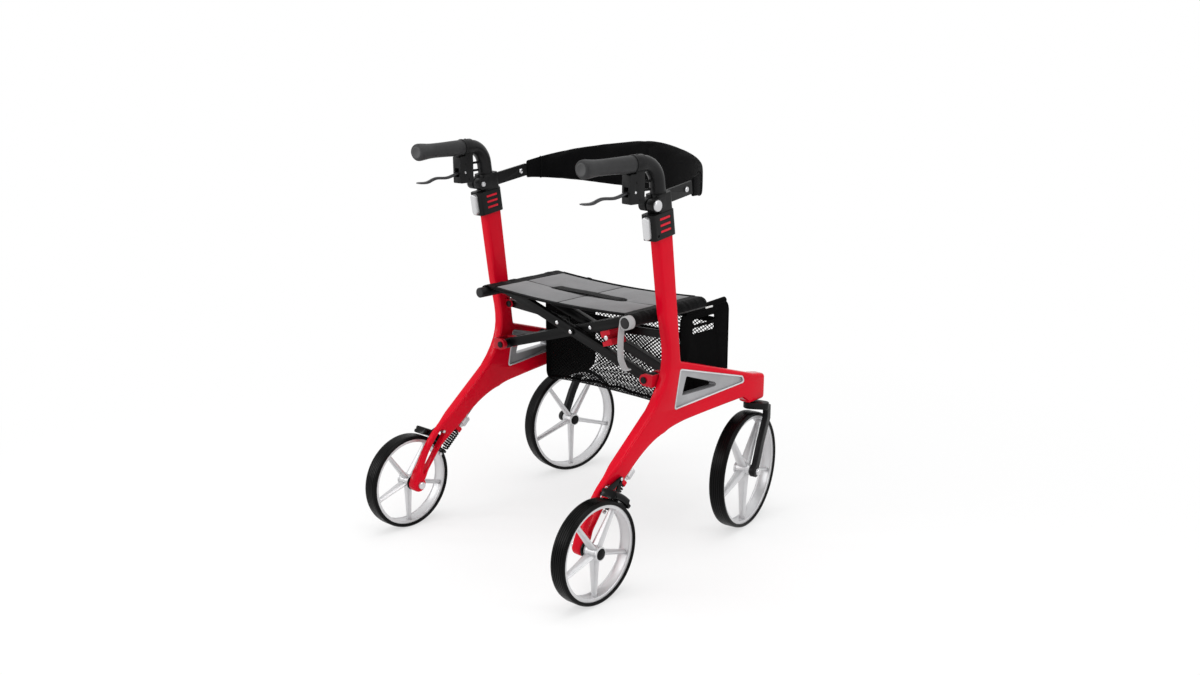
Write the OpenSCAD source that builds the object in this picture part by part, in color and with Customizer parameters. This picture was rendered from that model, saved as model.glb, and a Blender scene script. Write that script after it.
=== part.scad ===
/* [Wheels] */
// Distance from the rear axles to the front axles
wheelbase = 494; // [470:1:520]
// Radius of the rear wheels
rear_r = 101.6; // [95:0.1:108]
// Radius of the front wheels
front_r = 127; // [120:0.5:130]
// Width of the tyres
tyre_w = 34; // [30:1:36]
// Depth of the tyres outside their rims
tyre_d = 8; // [6:0.5:11]
// Width of the rims
rim_w = 27; // [22:1:29]
// Thickness of the rim barrels
rim_t = 5; // [3:0.5:8]
// Number of spokes
spokes = 5; // [3:1:7]
// Width of a spoke where it meets the rim
spoke_w = 11; // [8:0.5:14]
// Radius of the hubs
hub_r = 14; // [12:0.5:18]
// Length of the hubs
hub_w = 36; // [34:1:38]
// Radius of the axle bolts
axle_r = 5; // [4:0.25:6]

/* [Side frames] */
// Distance between the middle planes of the two posts
track_w = 482; // [450:1:500]
// Thickness of the side frames
frame_t = 25; // [24:0.5:27]
// Depth of the posts from front to back
post_depth = 45; // [42:0.5:48]
// Backward lean of the posts in degrees
post_lean = 8.3; // [6:0.1:10]
// Height of the point where the post's axis meets its reference
post_z = 512; // [490:1:530]
// Distance of that point behind the middle of the walker
post_back = 8; // [0:1:16]
// Length of the post above that point
post_len = 202; // [195:1:205]
// Rise of the front arm from the caster head's base to the corner at the post
arm_rise = 133; // [124:1:142]
// Outward step from the post to the caster head
head_step = 14; // [10:1:18]
// Thickness of the caster head
head_t = 30; // [28:1:34]
// Length of the caster head from front to back
head_len = 56; // [50:1:60]
// Height of the caster head
head_h = 56; // [50:1:58]

/* [Casters] */
// Distance of the front axles behind the swivel axes
trail = 28; // [22:1:32]
// Inward turn of the casters at rest in degrees
toe = 9; // [0:0.5:12]
// Thickness of the fork legs
fork_t = 12; // [9:0.5:14]
// Height of the fork crowns
crown_h = 14; // [11:0.5:16]
// Gap between the front tyres and the fork crowns
crown_gap = 5; // [3:0.5:8]
// Radius of the swivel stems
swivel_r = 8; // [6:0.25:10]

/* [Handles] */
// Distance from the posts' tops up to the grips' centre lines at the lowest setting
grip_rise = 98.1; // [96:0.1:120]
// Radius of the handle tubes
tube_r = 15.5; // [13:0.25:16]
// Bend radius of the handle elbows
elbow_r = 42; // [36:1:46]
// Inward turn of the handles in degrees
handle_toe = 4; // [0:0.5:5]
// Length of the grips
grip_len = 128; // [118:1:140]
// Radius of the grips
grip_r = 16.5; // [15:0.25:17]
// Width of the telescopic stems
stem_w = 19; // [15:0.5:20]
// Depth of the telescopic stems
stem_d = 30; // [26:0.5:32]
// Length of the stems inside the posts
stem_in = 192; // [170:1:196]
// Length of the brake levers
lever_len = 126; // [115:1:135]

/* [Seat and fold] */
// Height of the seat rails' axes
seat_z = 501; // [485:1:515]
// Height of the lower fold pivots
pivot_z = 375; // [365:1:385]
// Radius of the seat rails
rail_r = 11; // [9:0.25:12]
// Length of the seat rails
rail_len = 243; // [230:1:260]
// Gap between the seat rails and the side frames
rail_gap = 10; // [9:0.5:12]
// Depth of the cross bars, square to their length
bar_h = 20; // [17:0.5:22]
// Thickness of the cross bars
bar_t = 12; // [10:0.5:12]
// Room for the links between the rear and front cross bars
bar_corridor = 28; // [26:1:34]
// Height of the upper link pivots on the posts
link_z = 460; // [452:1:466]
// Distance from the fold's centre to the links' inner ends
link_reach = 43.5; // [38:0.5:50]
// Sag of the seat in its middle
seat_sag = 8; // [4:0.5:12]
// Swell of the seat pads
pad_h = 7; // [4:0.5:10]

/* [Backrest] */
// Height of the pad in its middle
belt_h = 110; // [90:1:118]
// Height of the pad at its ends
belt_end_h = 38; // [34:1:50]
// Thickness of the pad
belt_t = 17; // [12:0.5:22]
// Distance that the pad bows forward of its ends
belt_bow = 150; // [120:1:170]

/* [Bag] */
// Height of the bag's lowest edge
bag_z = 266; // [262:1:280]
// Height of the bag's side panels
bag_h = 220; // [200:1:222]
// Length of the bag from front to back
bag_len = 160; // [140:1:166]
// Thickness of the bag's side panels
panel_t = 3; // [2:0.25:5]

/* [Brake] */
// Gap between a brake shoe and its tyre
shoe_gap = 2.6; // [2.4:0.1:4]
// Thickness of the brake shoes
shoe_t = 15; // [9:0.5:18]
// Outer radius of the brake springs
coil_r = 8; // [7:0.25:9]
// Radius of the spring wire
wire_r = 1.3; // [1:0.1:1.6]
// Number of curls in each brake spring
curls = 9; // [6:1:10]

/* [Hidden] */
$fn = 64;
right = 1;
left = -1;

// Clearances and overruns
fit = 0.1;
run_fit = 0.05;
soft_gap = 0.3;
slide_fit = 0.4;
part_gap = 0.6;
over = 2;

// Steps of curves and of corner arcs
curve_steps = 10;
corner_steps = 5;

// Points on a cubic curve, without its last point
function curve(a, b, c, d) = [
    for (i = [0:curve_steps - 1])
        let (t = i / curve_steps, u = 1 - t)
            u * u * u * a + 3 * u * u * t * b + 3 * u * t * t * c + t * t * t * d
];

// Points on an arc, both ends included
function arc(centre, r, from, to, n) = [
    for (i = [0:n])
        let (q = from + (to - from) * i / n)
            centre + r * [cos(q), sin(q)]
];

function unit(v) = v / norm(v);
function turn(from, to) = (to - from + 900) % 360 - 180;

// A corner p between a and b, rounded off
function round_corner(a, p, b, r) =
    let (
        u = unit(a - p),
        v = unit(b - p),
        half = acos(u * v) / 2,
        centre = p + unit(u + v) * r / sin(half),
        s = p + u * r / tan(half) - centre,
        e = p + v * r / tan(half) - centre,
        from = atan2(s[1], s[0])
    )
        arc(centre, r, from, from + turn(from, atan2(e[1], e[0])), corner_steps);

// A polygon whose corners are all rounded off
function rounded(points, r) = [
    for (i = [0:len(points) - 1])
        each round_corner(points[(i + len(points) - 1) % len(points)], points[i],
                          points[(i + 1) % len(points)], r)
];

// A convex polygon drawn in by d on every side
function inset(points, d) = [
    for (i = [0:len(points) - 1])
        let (
            p = points[i],
            u = unit(points[(i + len(points) - 1) % len(points)] - p),
            v = unit(points[(i + 1) % len(points)] - p)
        )
            p + unit(u + v) * d / sin(acos(u * v) / 2)
];

// A rectangle from its lowest to its highest corner
function box_points(low, high) = [low, [high[0], low[1]], high, [low[0], high[1]]];

// A ribbon of even thickness along a path
function path_normal(path, i) =
    let (d = unit(path[min(i + 1, len(path) - 1)] - path[max(i - 1, 0)]))
        [-d[1], d[0]];
function ribbon(path, t) = concat(
    [for (i = [0:len(path) - 1]) path[i] + path_normal(path, i) * t / 2],
    [for (i = [len(path) - 1:-1:0]) path[i] - path_normal(path, i) * t / 2]
);

// Faces of a skin over rings of n points each, closed at both ends
function tube_faces(rings, n) = concat(
    [for (j = [0:rings - 2], i = [0:n - 1]) each [
        [j * n + i, j * n + (i + 1) % n, (j + 1) * n + (i + 1) % n],
        [j * n + i, (j + 1) * n + (i + 1) % n, (j + 1) * n + i]
    ]],
    [for (i = [1:n - 2]) [0, i + 1, i]],
    [for (i = [1:n - 2]) let (k = (rings - 1) * n) [k, k + i, k + i + 1]]
);

// Builds the right-hand piece, or its mirror image on the left
module on_side(side) {
    mirror([side == left ? 1 : 0, 0, 0]) children();
}

// Extrudes a side view, drawn in y and z, from x onwards
module side_plate(x, t) {
    translate([x, 0, 0]) rotate([90, 0, 90]) linear_extrude(t) children();
}

// Extrudes a rear view, drawn in x and z, from y onwards
module rear_plate(y, t) {
    translate([0, y + t, 0]) rotate([90, 0, 0]) linear_extrude(t) children();
}

// Cylinders along x and along y
module x_rod(r, x, y, z, length) {
    translate([x, y, z]) rotate([0, 90, 0]) cylinder(r = r, h = length);
}
module y_rod(r, x, y, z, length) {
    translate([x, y, z]) rotate([-90, 0, 0]) cylinder(r = r, h = length);
}

// Places that follow from the driving sizes
crown_seat = 3;
wheel_gap = 3;
leg_splay_share = 0.05;
frame_x = track_w / 2;
frame_in = frame_x - frame_t / 2;
front_reach = front_r * cos(toe);
rear_y = -(wheelbase + front_reach - rear_r) / 2;
front_y = rear_y + wheelbase;
head_x = frame_x + head_step;
head_y = front_y + trail * cos(toe);
head_z = 2 * front_r + crown_gap + crown_h + crown_seat;
elbow_z = head_z + arm_rise;
post_y = -post_back;
rail_x = frame_in - rail_gap - rail_r;
rear_x = frame_x + leg_splay_share * frame_t + frame_t / 2 + wheel_gap + hub_w / 2;

// Moves pieces onto the leaning axis of the right-hand post
module on_post() {
    translate([frame_x, post_y, post_z]) rotate([post_lean, 0, 0]) children();
}
function post_axis(s) = [post_y - s * sin(post_lean), post_z + s * cos(post_lean)];
function post_edge(s, d) = post_axis(s) + d * [cos(post_lean), sin(post_lean)];

// Side frame seen from above: distance of its middle from the walker's middle, and half its thickness
plan_stations = [
    rear_y - rear_r, rear_y, post_y - post_depth, post_y + post_depth,
    head_y - head_len / 2, head_y + head_len
];
function plan_mid(y) = lookup(y, [
    [rear_y, frame_x + leg_splay_share * frame_t],
    [post_y - post_depth, frame_x],
    [post_y + post_depth, frame_x],
    [head_y - head_len / 2, head_x]
]);
function plan_half(y) = lookup(y, [
    [post_y + post_depth, frame_t / 2],
    [head_y - head_len / 2, head_t / 2]
]);
function plan_points(grow) = concat(
    [for (y = plan_stations) [plan_mid(y) - plan_half(y) - grow, y]],
    [for (i = [len(plan_stations) - 1:-1:0])
        let (y = plan_stations[i])
            [plan_mid(y) + plan_half(y) + grow, y]]
);
frame_top = post_z + post_len + over;
module frame_slab(grow) {
    intersection() {
        linear_extrude(frame_top) polygon(plan_points(grow));
        side_plate(0, head_x + head_t) children();
    }
}

// Side frame seen from the side. Leg points are shares of the leg's run and rise from the rear axle,
// and arm points are shares of the arm's run from the post and its rise above the caster head's base
boss_r = 16;
corner_fillet = 9;
nose_fillet = 4;
leg_run = post_y - rear_y;
leg_rise = elbow_z - rear_r;
arm_run = head_y - post_y;
rear_bend_share = 0.02;
waist_pull_shares = [0.975, 1.10];
knee_pull_shares = [1.05, 0.955];
knee_shares = [0.782, 0.727];
shin_shares = [0.224, 0.3624];
shin_pull_shares = [0.122, 0.297];
heel_pull_shares = [0.004, 0.157];
prong_shares = [0.256, 0.226];
instep_shares = [0.42, 0.32];
instep_pull_shares = [0.60, 0.45];
arch_pull_shares = [0.78, 0.535];
arch_shares = [0.932, 0.552];
sole_pull_shares = [1.01, 0.58];
arm_sole_shares = [0.11, 0.055];
arm_tip_shares = [0.83, 0.13];
arm_top_shares = [0.27, 0.905];
arm_end_shares = [0.95, 0.48];
elbow_share = 0.67;
slot_shares = [[0.262, 0.36], [0.325, 0.335], [0.062, 0.075], [0.036, 0.075]];
slot_fillet = 2.4;
function leg_at(p) = [rear_y + p[0] * leg_run, rear_r + p[1] * leg_rise];
function arm_at(p) = [post_y + p[0] * arm_run, head_z + p[1] * arm_rise];

function frame_outline() =
    let (
        nose = head_y + head_len / 2,
        heel = head_y - head_len / 2,
        post_front = post_edge(post_len, post_depth / 2),
        post_rear = post_edge(post_len, -post_depth / 2),
        rear_bend = post_edge(rear_bend_share * post_len, -post_depth / 2),
        elbow = [post_y + elbow_share * post_depth, elbow_z],
        tip = arm_at(arm_tip_shares)
    ) concat(
        [post_front, post_rear],
        curve(rear_bend, leg_at(waist_pull_shares), leg_at(knee_pull_shares), leg_at(knee_shares)),
        curve(leg_at(knee_shares), (2 * leg_at(knee_shares) + leg_at(shin_shares)) / 3,
              (leg_at(knee_shares) + 2 * leg_at(shin_shares)) / 3, leg_at(shin_shares)),
        curve(leg_at(shin_shares), leg_at(shin_pull_shares), leg_at(heel_pull_shares),
              [rear_y - boss_r, rear_r]),
        arc([rear_y, rear_r], boss_r, 180, 390, 3 * corner_steps),
        [leg_at(prong_shares)],
        curve(leg_at(instep_shares), leg_at(instep_pull_shares), leg_at(arch_pull_shares),
              leg_at(arch_shares)),
        curve(leg_at(arch_shares), leg_at(sole_pull_shares), arm_at(arm_sole_shares), tip),
        [tip, [heel, tip[1]]],
        round_corner([heel, tip[1]], [heel, head_z], [nose, head_z], nose_fillet),
        round_corner([heel, head_z], [nose, head_z], [nose, head_z + head_h], nose_fillet),
        round_corner([nose, head_z], [nose, head_z + head_h], arm_at(arm_end_shares), nose_fillet),
        [arm_at(arm_end_shares), arm_at(arm_top_shares)],
        round_corner(arm_at(arm_top_shares), elbow, post_front, corner_fillet)
    );

// Window in the front arm and its bezel
window_shares = [[0.096, 0.90], [0.805, 0.51], [0.84, 0.385], [0.03, 0.27]];
pane_shares = [[0.189, 0.735], [0.50, 0.52], [0.535, 0.45], [0.14, 0.45]];
window_fillet = 6;
pane_fillet = 3;
bezel_rim = 4;
bezel_proud = 0.6;
bezel_sink = 4;
window_points = [for (p = window_shares) arm_at(p)];
pane_points = [for (p = pane_shares) arm_at(p)];

// Brake places on the rear leg, as shares like the leg's
brake_pin_shares = [0.388, 0.366];
lug_shares = [0.485, 0.32];
hook_shares = [0.292, 0.185];
brake_pin_r = 3;
cable_r = 0.8;
lug_r = 8;
lug_len = 10;
brake_pin = leg_at(brake_pin_shares);
lug = leg_at(lug_shares);
hook = leg_at(hook_shares);
cable_tilt = atan2(lug[1] - hook[1], lug[0] - hook[0]);
cable_x = plan_mid(lug[0]);
cable_gap = 0.7;
cable_len = 98;
lug_web = 18;

// Moves pieces onto the brake cable's axis, from the frame's lug upwards
module on_cable() {
    translate([cable_x, lug[0], lug[1]]) rotate([cable_tilt - 90, 0, 0]) children();
}

stem_corner = 6;
stem_room = 8;
module stem_section(grow) {
    polygon(rounded(box_points([-stem_w / 2 - grow, -stem_d / 2 - grow],
                               [stem_w / 2 + grow, stem_d / 2 + grow]), stem_corner));
}
swivel_len = 46;

module side_frame(side) {
    color("crimson") on_side(side) difference() {
        union() {
            frame_slab(0) polygon(frame_outline());
            on_cable() translate([0, 0, -lug_len]) {
                cylinder(r = lug_r, h = lug_len);
                translate([-lug_r, -lug_web, 0]) cube([2 * lug_r, lug_web, lug_len]);
            }
        }
        frame_slab(over) polygon(rounded([for (p = slot_shares) leg_at(p)], slot_fillet));
        frame_slab(over) polygon(rounded(window_points, window_fillet));
        on_post() translate([0, 0, post_len - stem_in - stem_room])
            linear_extrude(stem_in + stem_room + over) stem_section(slide_fit);
        x_rod(axle_r, 0, rear_y, rear_r, 2 * frame_x);
        x_rod(brake_pin_r, 0, brake_pin[0], brake_pin[1], 2 * frame_x);
        translate([head_x, head_y, head_z - over])
            cylinder(r = swivel_r + run_fit, h = swivel_len + 2 * over);
        on_cable() translate([0, 0, -lug_len - over])
            cylinder(r = cable_r + cable_gap, h = lug_len + cable_len);
    }
}

module window_bezel(side) {
    edge = inset(window_points, fit);
    color("silver") on_side(side) difference() {
        union() {
            frame_slab(bezel_proud) difference() {
                polygon(rounded(edge, window_fillet));
                polygon(rounded(inset(edge, bezel_rim), window_fillet - bezel_rim / 2));
            }
            frame_slab(-bezel_sink) polygon(rounded(inset(edge, bezel_rim / 2), window_fillet));
        }
        frame_slab(over) polygon(rounded(pane_points, pane_fillet));
    }
}

// Height lock on top of the post
lock_t = 33;
lock_rear = 38;
lock_front = 26;
lock_h = 50;
lock_over = 4;
lock_fillet = 7;
lip_len = 6;
lip_h = 8;
notch_w = 30;
notch_h = 5;
notch_pitch = 12;
notch_rise = 12;
notch_mid = -4;
notches = 3;
button_w = 15;
button_h = 45;
button_deep = 10;
button_proud = 8;
lock_high = post_len + lock_over;
lock_low = lock_high - lock_h;
lock_mid = lock_high - lock_h / 2;
notch_low = lock_low + notch_rise;

module lock_housing(side) {
    color("dimgray") on_side(side) on_post() difference() {
        union() {
            translate([0, 0, lock_low]) linear_extrude(lock_h)
                polygon(rounded(box_points([-lock_t / 2, -lock_rear], [lock_t / 2, lock_front]),
                                lock_fillet));
            translate([0, 0, lock_high - lip_h]) linear_extrude(lip_h)
                polygon(rounded(box_points([-lock_t / 4, 0], [lock_t / 4, lock_front + lip_len]),
                                lock_fillet));
        }
        translate([-frame_t / 2 - fit, -post_depth / 2 - fit, lock_low - over])
            cube([frame_t + 2 * fit, post_depth + 2 * fit, post_len - lock_low + over + fit]);
        translate([0, 0, post_len]) linear_extrude(lock_high - post_len + over) stem_section(slide_fit);
        for (i = [0:notches - 1])
            translate([-lock_t, notch_mid - notch_w / 2, notch_low + i * notch_pitch])
                cube([2 * lock_t, notch_w, notch_h]);
        translate([0, -lock_rear - over, lock_mid]) rotate([-90, 0, 0]) linear_extrude(button_deep + over)
            polygon(button_outline(slide_fit));
    }
}
function button_outline(grow) =
    let (w = button_w / 2 + grow, straight = (button_h - button_w) / 2)
        concat(arc([0, straight], w, 0, 180, 4 * corner_steps),
               arc([0, -straight], w, 180, 360, 4 * corner_steps));

button_travel = 2.5;
module height_button(side) {
    color("gainsboro") on_side(side) on_post()
        translate([0, -lock_rear - button_proud, lock_mid]) rotate([-90, 0, 0])
            linear_extrude(button_proud + button_deep - button_travel - slide_fit) polygon(button_outline(0));
}

// Handle: stem, elbow and straight end, turned a little inwards about the stem
grip_s = post_len + grip_rise;
elbow_turn = 90 - post_lean;
elbow_s = grip_s - elbow_r * tan(elbow_turn / 2);
core_r = 11;
core_short = 6;
core_len = grip_len - core_short;
ring_len = 24;
stem_over = 2 * part_gap;
tube_step = 0.5;
straight_r = tube_r - tube_step;
module on_handle() {
    on_post() rotate([0, 0, -handle_toe]) children();
}

// Moves pieces to the elbow's end, with z pointing along the grip and y upwards
module on_grip() {
    on_handle() translate([0, -elbow_r, elbow_s]) rotate([elbow_turn, 0, 0])
        translate([0, elbow_r, 0]) children();
}
module handle_stem(side) {
    color([0.16, 0.16, 0.17]) on_side(side) {
        on_post() translate([0, 0, post_len - stem_in])
            linear_extrude(stem_in + lock_high - post_len + stem_over) stem_section(0);
        on_post() translate([0, 0, lock_high + part_gap])
            cylinder(r = straight_r, h = elbow_s - lock_high - part_gap + over);
        on_handle() translate([0, -elbow_r, elbow_s]) rotate([90, 0, 90])
            rotate_extrude(angle = elbow_turn) translate([elbow_r, 0]) circle(r = tube_r);
        on_grip() {
            translate([0, 0, -over]) cylinder(r = straight_r, h = ring_len + over);
            cylinder(r = core_r, h = ring_len + core_len);
        }
    }
}

grip_end_r = 18;
grip_waist_r = 15.2;
grip_bevel = 2;
palm_shares = [0.1, 0.3, 0.45, 0.6];
heel_shares = [0.6, 0.8, 0.82, 0.93];
heel_end_share = 0.95;
module grip(side) {
    start = ring_len + fit;
    palm = [for (k = palm_shares) start + k * grip_len];
    heel = [for (k = heel_shares) start + k * grip_len];
    color([0.25, 0.25, 0.26]) on_side(side) on_grip() difference() {
        rotate_extrude() polygon(concat(
            [[0, start], [grip_r, start]],
            curve([grip_r, palm[0]], [grip_r, palm[1]],
                  [grip_waist_r, palm[2]], [grip_waist_r, palm[3]]),
            curve([grip_waist_r, heel[0]], [grip_waist_r, heel[1]],
                  [grip_end_r, heel[2]], [grip_end_r, heel[3]]),
            [[grip_end_r, start + heel_end_share * grip_len], [grip_end_r - grip_bevel, start + grip_len],
             [0, start + grip_len]]
        ));
        translate([0, 0, start - over]) cylinder(r = core_r + run_fit, h = core_len + over);
    }
}

// Brake housing under the grip, in the grip's own frame: z runs back from the elbow, y upwards
ring_t = 2;
block_w = 22;
block_low = 73;
block_from = 2;
block_to = 40;
neck_deep = 8;
nub_r = 2.5;
nub_gap = 3;
nub_len = elbow_r - tube_r - nub_gap;
block_fillet = 3;
nub_places = [34, 50];
lever_z = 26;
lever_y = -51;
lever_boss = 6.5;
lever_w = 10;
lever_t = 6;
lever_room = 10;
pin_r = 2.5;
pin_proud = 1;
lever_drop = 12;
lever_shares = [[0.1, 0.1], [0.34, 0.62], [0.6, 0.5], [0.8, 1.0], [1, 0.9]];

module in_grip_plane(t) {
    rotate([0, -90, 0]) linear_extrude(t, center = true) children();
}
module lever_rod(r, length) {
    translate([-length / 2, lever_y, lever_z]) rotate([0, 90, 0]) cylinder(r = r, h = length);
}
module brake_housing(side) {
    color([0.13, 0.13, 0.13]) on_side(side) on_grip() difference() {
        union() {
            cylinder(r = tube_r + ring_t, h = ring_len);
            in_grip_plane(block_w) polygon(rounded(box_points(
                [block_from, -block_low], [block_to, -grip_r - part_gap]), block_fillet));
            in_grip_plane(block_w) polygon(box_points(
                [block_from, -grip_r - neck_deep], [ring_len, -grip_r + neck_deep / 2]));
            for (y = nub_places)
                translate([0, -y, -nub_len]) cylinder(r = nub_r, h = nub_len + block_from + over);
        }
        translate([0, 0, -over]) cylinder(r = straight_r + fit, h = ring_len + 2 * over);
        in_grip_plane(lever_w + 2 * part_gap) polygon(box_points(
            [lever_z - lever_boss - part_gap, lever_y - lever_boss - over],
            [block_to + over, lever_y + lever_room]));
        lever_rod(pin_r, 2 * block_w);
    }
}

module brake_lever(side) {
    path = concat([[lever_z, lever_y]],
                  [for (p = lever_shares) [lever_z + p[0] * lever_len, lever_y - p[1] * lever_drop]]);
    color("gray") on_side(side) on_grip() difference() {
        union() {
            lever_rod(lever_boss, lever_w);
            in_grip_plane(lever_w) polygon(ribbon(path, lever_t));
        }
        lever_rod(pin_r + run_fit, 2 * block_w);
    }
}

module lever_pin(side) {
    color("silver") on_side(side) on_grip() lever_rod(pin_r, block_w + 2 * pin_proud);
}

// Backrest clamp on the stem, with its flat bar
collar_low = lock_high + 2 * part_gap;
collar_h = 34;
collar_w = 35;
collar_front = 21;
collar_rear = 19;
collar_fillet = 6;
ear_w = 36;
ear_r = 12;
ear_y = -27;
ear_slit = 4;
bar_len = 111;
belt_bar_h = 26;
belt_bar_t = 5;
belt_bolt_back = 18;
bar_in = 9;
bar_x = frame_x - bar_in;
bar_bolt_y = bar_len - belt_bolt_back;
clamp_bolt_r = 3;
knob_r = 11;
knob_h = 6;
nut_r = 5.5;
nut_h = 4;
bolt_head = 3;
collar_mid = collar_low + collar_h / 2;
bar_end_y = post_y + bar_len * cos(post_lean) - (collar_mid - belt_bar_h / 2) * sin(post_lean);
bar_end_z = post_z + bar_len * sin(post_lean) + collar_mid * cos(post_lean);

module backrest_clamp(side) {
    color([0.1, 0.1, 0.1]) on_side(side) on_post() difference() {
        union() {
            translate([0, 0, collar_low]) linear_extrude(collar_h)
                polygon(rounded(box_points([-collar_w / 2, -collar_rear], [collar_w / 2, collar_front]),
                                collar_fillet));
            x_rod(ear_r, -ear_w / 2, ear_y, collar_mid, ear_w);
            translate([-ear_w / 2, ear_y, collar_mid - ear_r]) cube([ear_w, -ear_y, 2 * ear_r]);
            translate([-bar_in - belt_bar_t / 2, 0, collar_mid - belt_bar_h / 2])
                cube([belt_bar_t, bar_len, belt_bar_h]);
        }
        translate([0, 0, lock_high]) cylinder(r = straight_r + fit, h = 2 * collar_h);
        translate([-ear_slit / 2, ear_y - 2 * ear_r, collar_low - over])
            cube([ear_slit, 2 * ear_r - ear_y, collar_h + 2 * over]);
        x_rod(clamp_bolt_r, -ear_w, ear_y, collar_mid, 2 * ear_w);
        x_rod(clamp_bolt_r, -bar_in - ear_w, bar_bolt_y, collar_mid, 2 * ear_w);
    }
}

module clamp_bolts(side) {
    reach = belt_bar_t / 2 + bolt_head;
    color("gainsboro") on_side(side) on_post() {
        x_rod(clamp_bolt_r, -ear_w / 2 - nut_h, ear_y, collar_mid, ear_w + nut_h + knob_h / 2);
        x_rod(knob_r, ear_w / 2, ear_y, collar_mid, knob_h);
        x_rod(nut_r, -ear_w / 2 - nut_h, ear_y, collar_mid, nut_h);
        translate([-bar_in, bar_bolt_y, collar_mid]) {
            x_rod(clamp_bolt_r, -reach, 0, 0, 2 * reach);
            x_rod(nut_r, belt_bar_t / 2, 0, 0, bolt_head);
            x_rod(nut_r, -reach, 0, 0, bolt_head);
        }
    }
}

// Backrest pad: a padded belt that bows forward between the two bars
belt_steps = 36;
belt_sides = 14;
belt_rise = 12.5;
belt_swell_share = 1.55;
belt_plan_share = 1.1;
belt_square_share = 0.55;
function signed_power(v, k) = sign(v) * pow(abs(v), k);
function belt_ring(i) =
    let (
        q = 180 - 180 * i / belt_steps,
        across = signed_power(cos(q), belt_plan_share),
        ahead = pow(max(sin(q), 0), belt_plan_share),
        full = pow(max(sin(q), 0), belt_swell_share),
        out = unit([cos(q) / bar_x, sin(q) / belt_bow]),
        mid = [bar_x * across, bar_end_y + soft_gap + belt_bow * ahead],
        h = belt_end_h + (belt_h - belt_end_h) * full,
        t = belt_t * (1 + full) / 2
    ) [
        for (k = [0:belt_sides - 1])
            let (
                a = 360 * k / belt_sides,
                p = mid + out * signed_power(cos(a), belt_square_share) * t / 2
            )
                [p[0], p[1], bar_end_z + belt_rise * ahead + signed_power(sin(a), belt_square_share) * h / 2]
    ];
module backrest_pad() {
    color([0.08, 0.08, 0.08])
        polyhedron([for (i = [0:belt_steps]) each belt_ring(i)], tube_faces(belt_steps + 1, belt_sides));
}

// Wheels, about the x axis with their centre at the origin
spoke_hub_share = 0.8;
spoke_deep = 27;
spoke_thin = 14;
cap_t = 4;
tyre_shoulder = 3;
module about_x() {
    rotate([0, 90, 0]) children();
}
module rim(r) {
    edge = r - tyre_d;
    reach = edge - rim_t / 2;
    about_x() difference() {
        union() {
            rotate_extrude() polygon(box_points([edge - rim_t, -rim_w / 2], [edge, rim_w / 2]));
            translate([0, 0, -hub_w / 2]) cylinder(r = hub_r, h = hub_w);
            for (i = [0:spokes - 1])
                rotate([0, 0, 360 * i / spokes]) intersection() {
                    translate([0, 0, -hub_w / 2]) linear_extrude(hub_w) polygon([
                        [0, -spoke_hub_share * spoke_w / 2], [reach, -spoke_w / 2],
                        [reach, spoke_w / 2], [0, spoke_hub_share * spoke_w / 2]]);
                    rotate([90, 0, 0]) translate([0, 0, -spoke_w]) linear_extrude(2 * spoke_w) polygon([
                        [0, -spoke_deep / 2], [reach, -spoke_thin / 2],
                        [reach, spoke_thin / 2], [0, spoke_deep / 2]]);
                }
        }
        translate([0, 0, -hub_w / 2 - over]) cylinder(r = axle_r + run_fit, h = hub_w - cap_t + over);
    }
}
module tyre(r) {
    base = r - tyre_d + fit;
    w = tyre_w / 2;
    about_x() rotate_extrude() polygon(concat(
        [[base, w - tyre_shoulder / 2], [base, -w + tyre_shoulder / 2]],
        curve([r - tyre_d / 2, -w], [r - tyre_d / 4, -w], [r, -w + tyre_shoulder], [r, -w / 2]),
        [[r, -w / 2], [r, w / 2]],
        [for (i = [curve_steps - 1:-1:0])
            let (side = curve([r - tyre_d / 2, w], [r - tyre_d / 4, w], [r, w - tyre_shoulder], [r, w / 2]))
                side[i]]
    ));
}
module rear_wheel_place(side) {
    on_side(side) translate([rear_x, rear_y, rear_r]) children();
}
module rear_rim(side) {
    color("lightgray") rear_wheel_place(side) rim(rear_r);
}
module rear_tyre(side) {
    color([0.06, 0.06, 0.06]) rear_wheel_place(side) tyre(rear_r);
}
axle_head_r = 8;
axle_head = 4;
module rear_axle(side) {
    inner = plan_mid(rear_y) - frame_t / 2;
    color("gainsboro") on_side(side) {
        x_rod(axle_r, inner - axle_head, rear_y, rear_r,
              rear_x + hub_w / 2 - cap_t - fit - inner + axle_head);
        x_rod(axle_head_r, inner - axle_head, rear_y, rear_r, axle_head);
        x_rod(axle_head_r, rear_x - hub_w / 2 - wheel_gap, rear_y, rear_r, wheel_gap - fit);
    }
}

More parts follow.
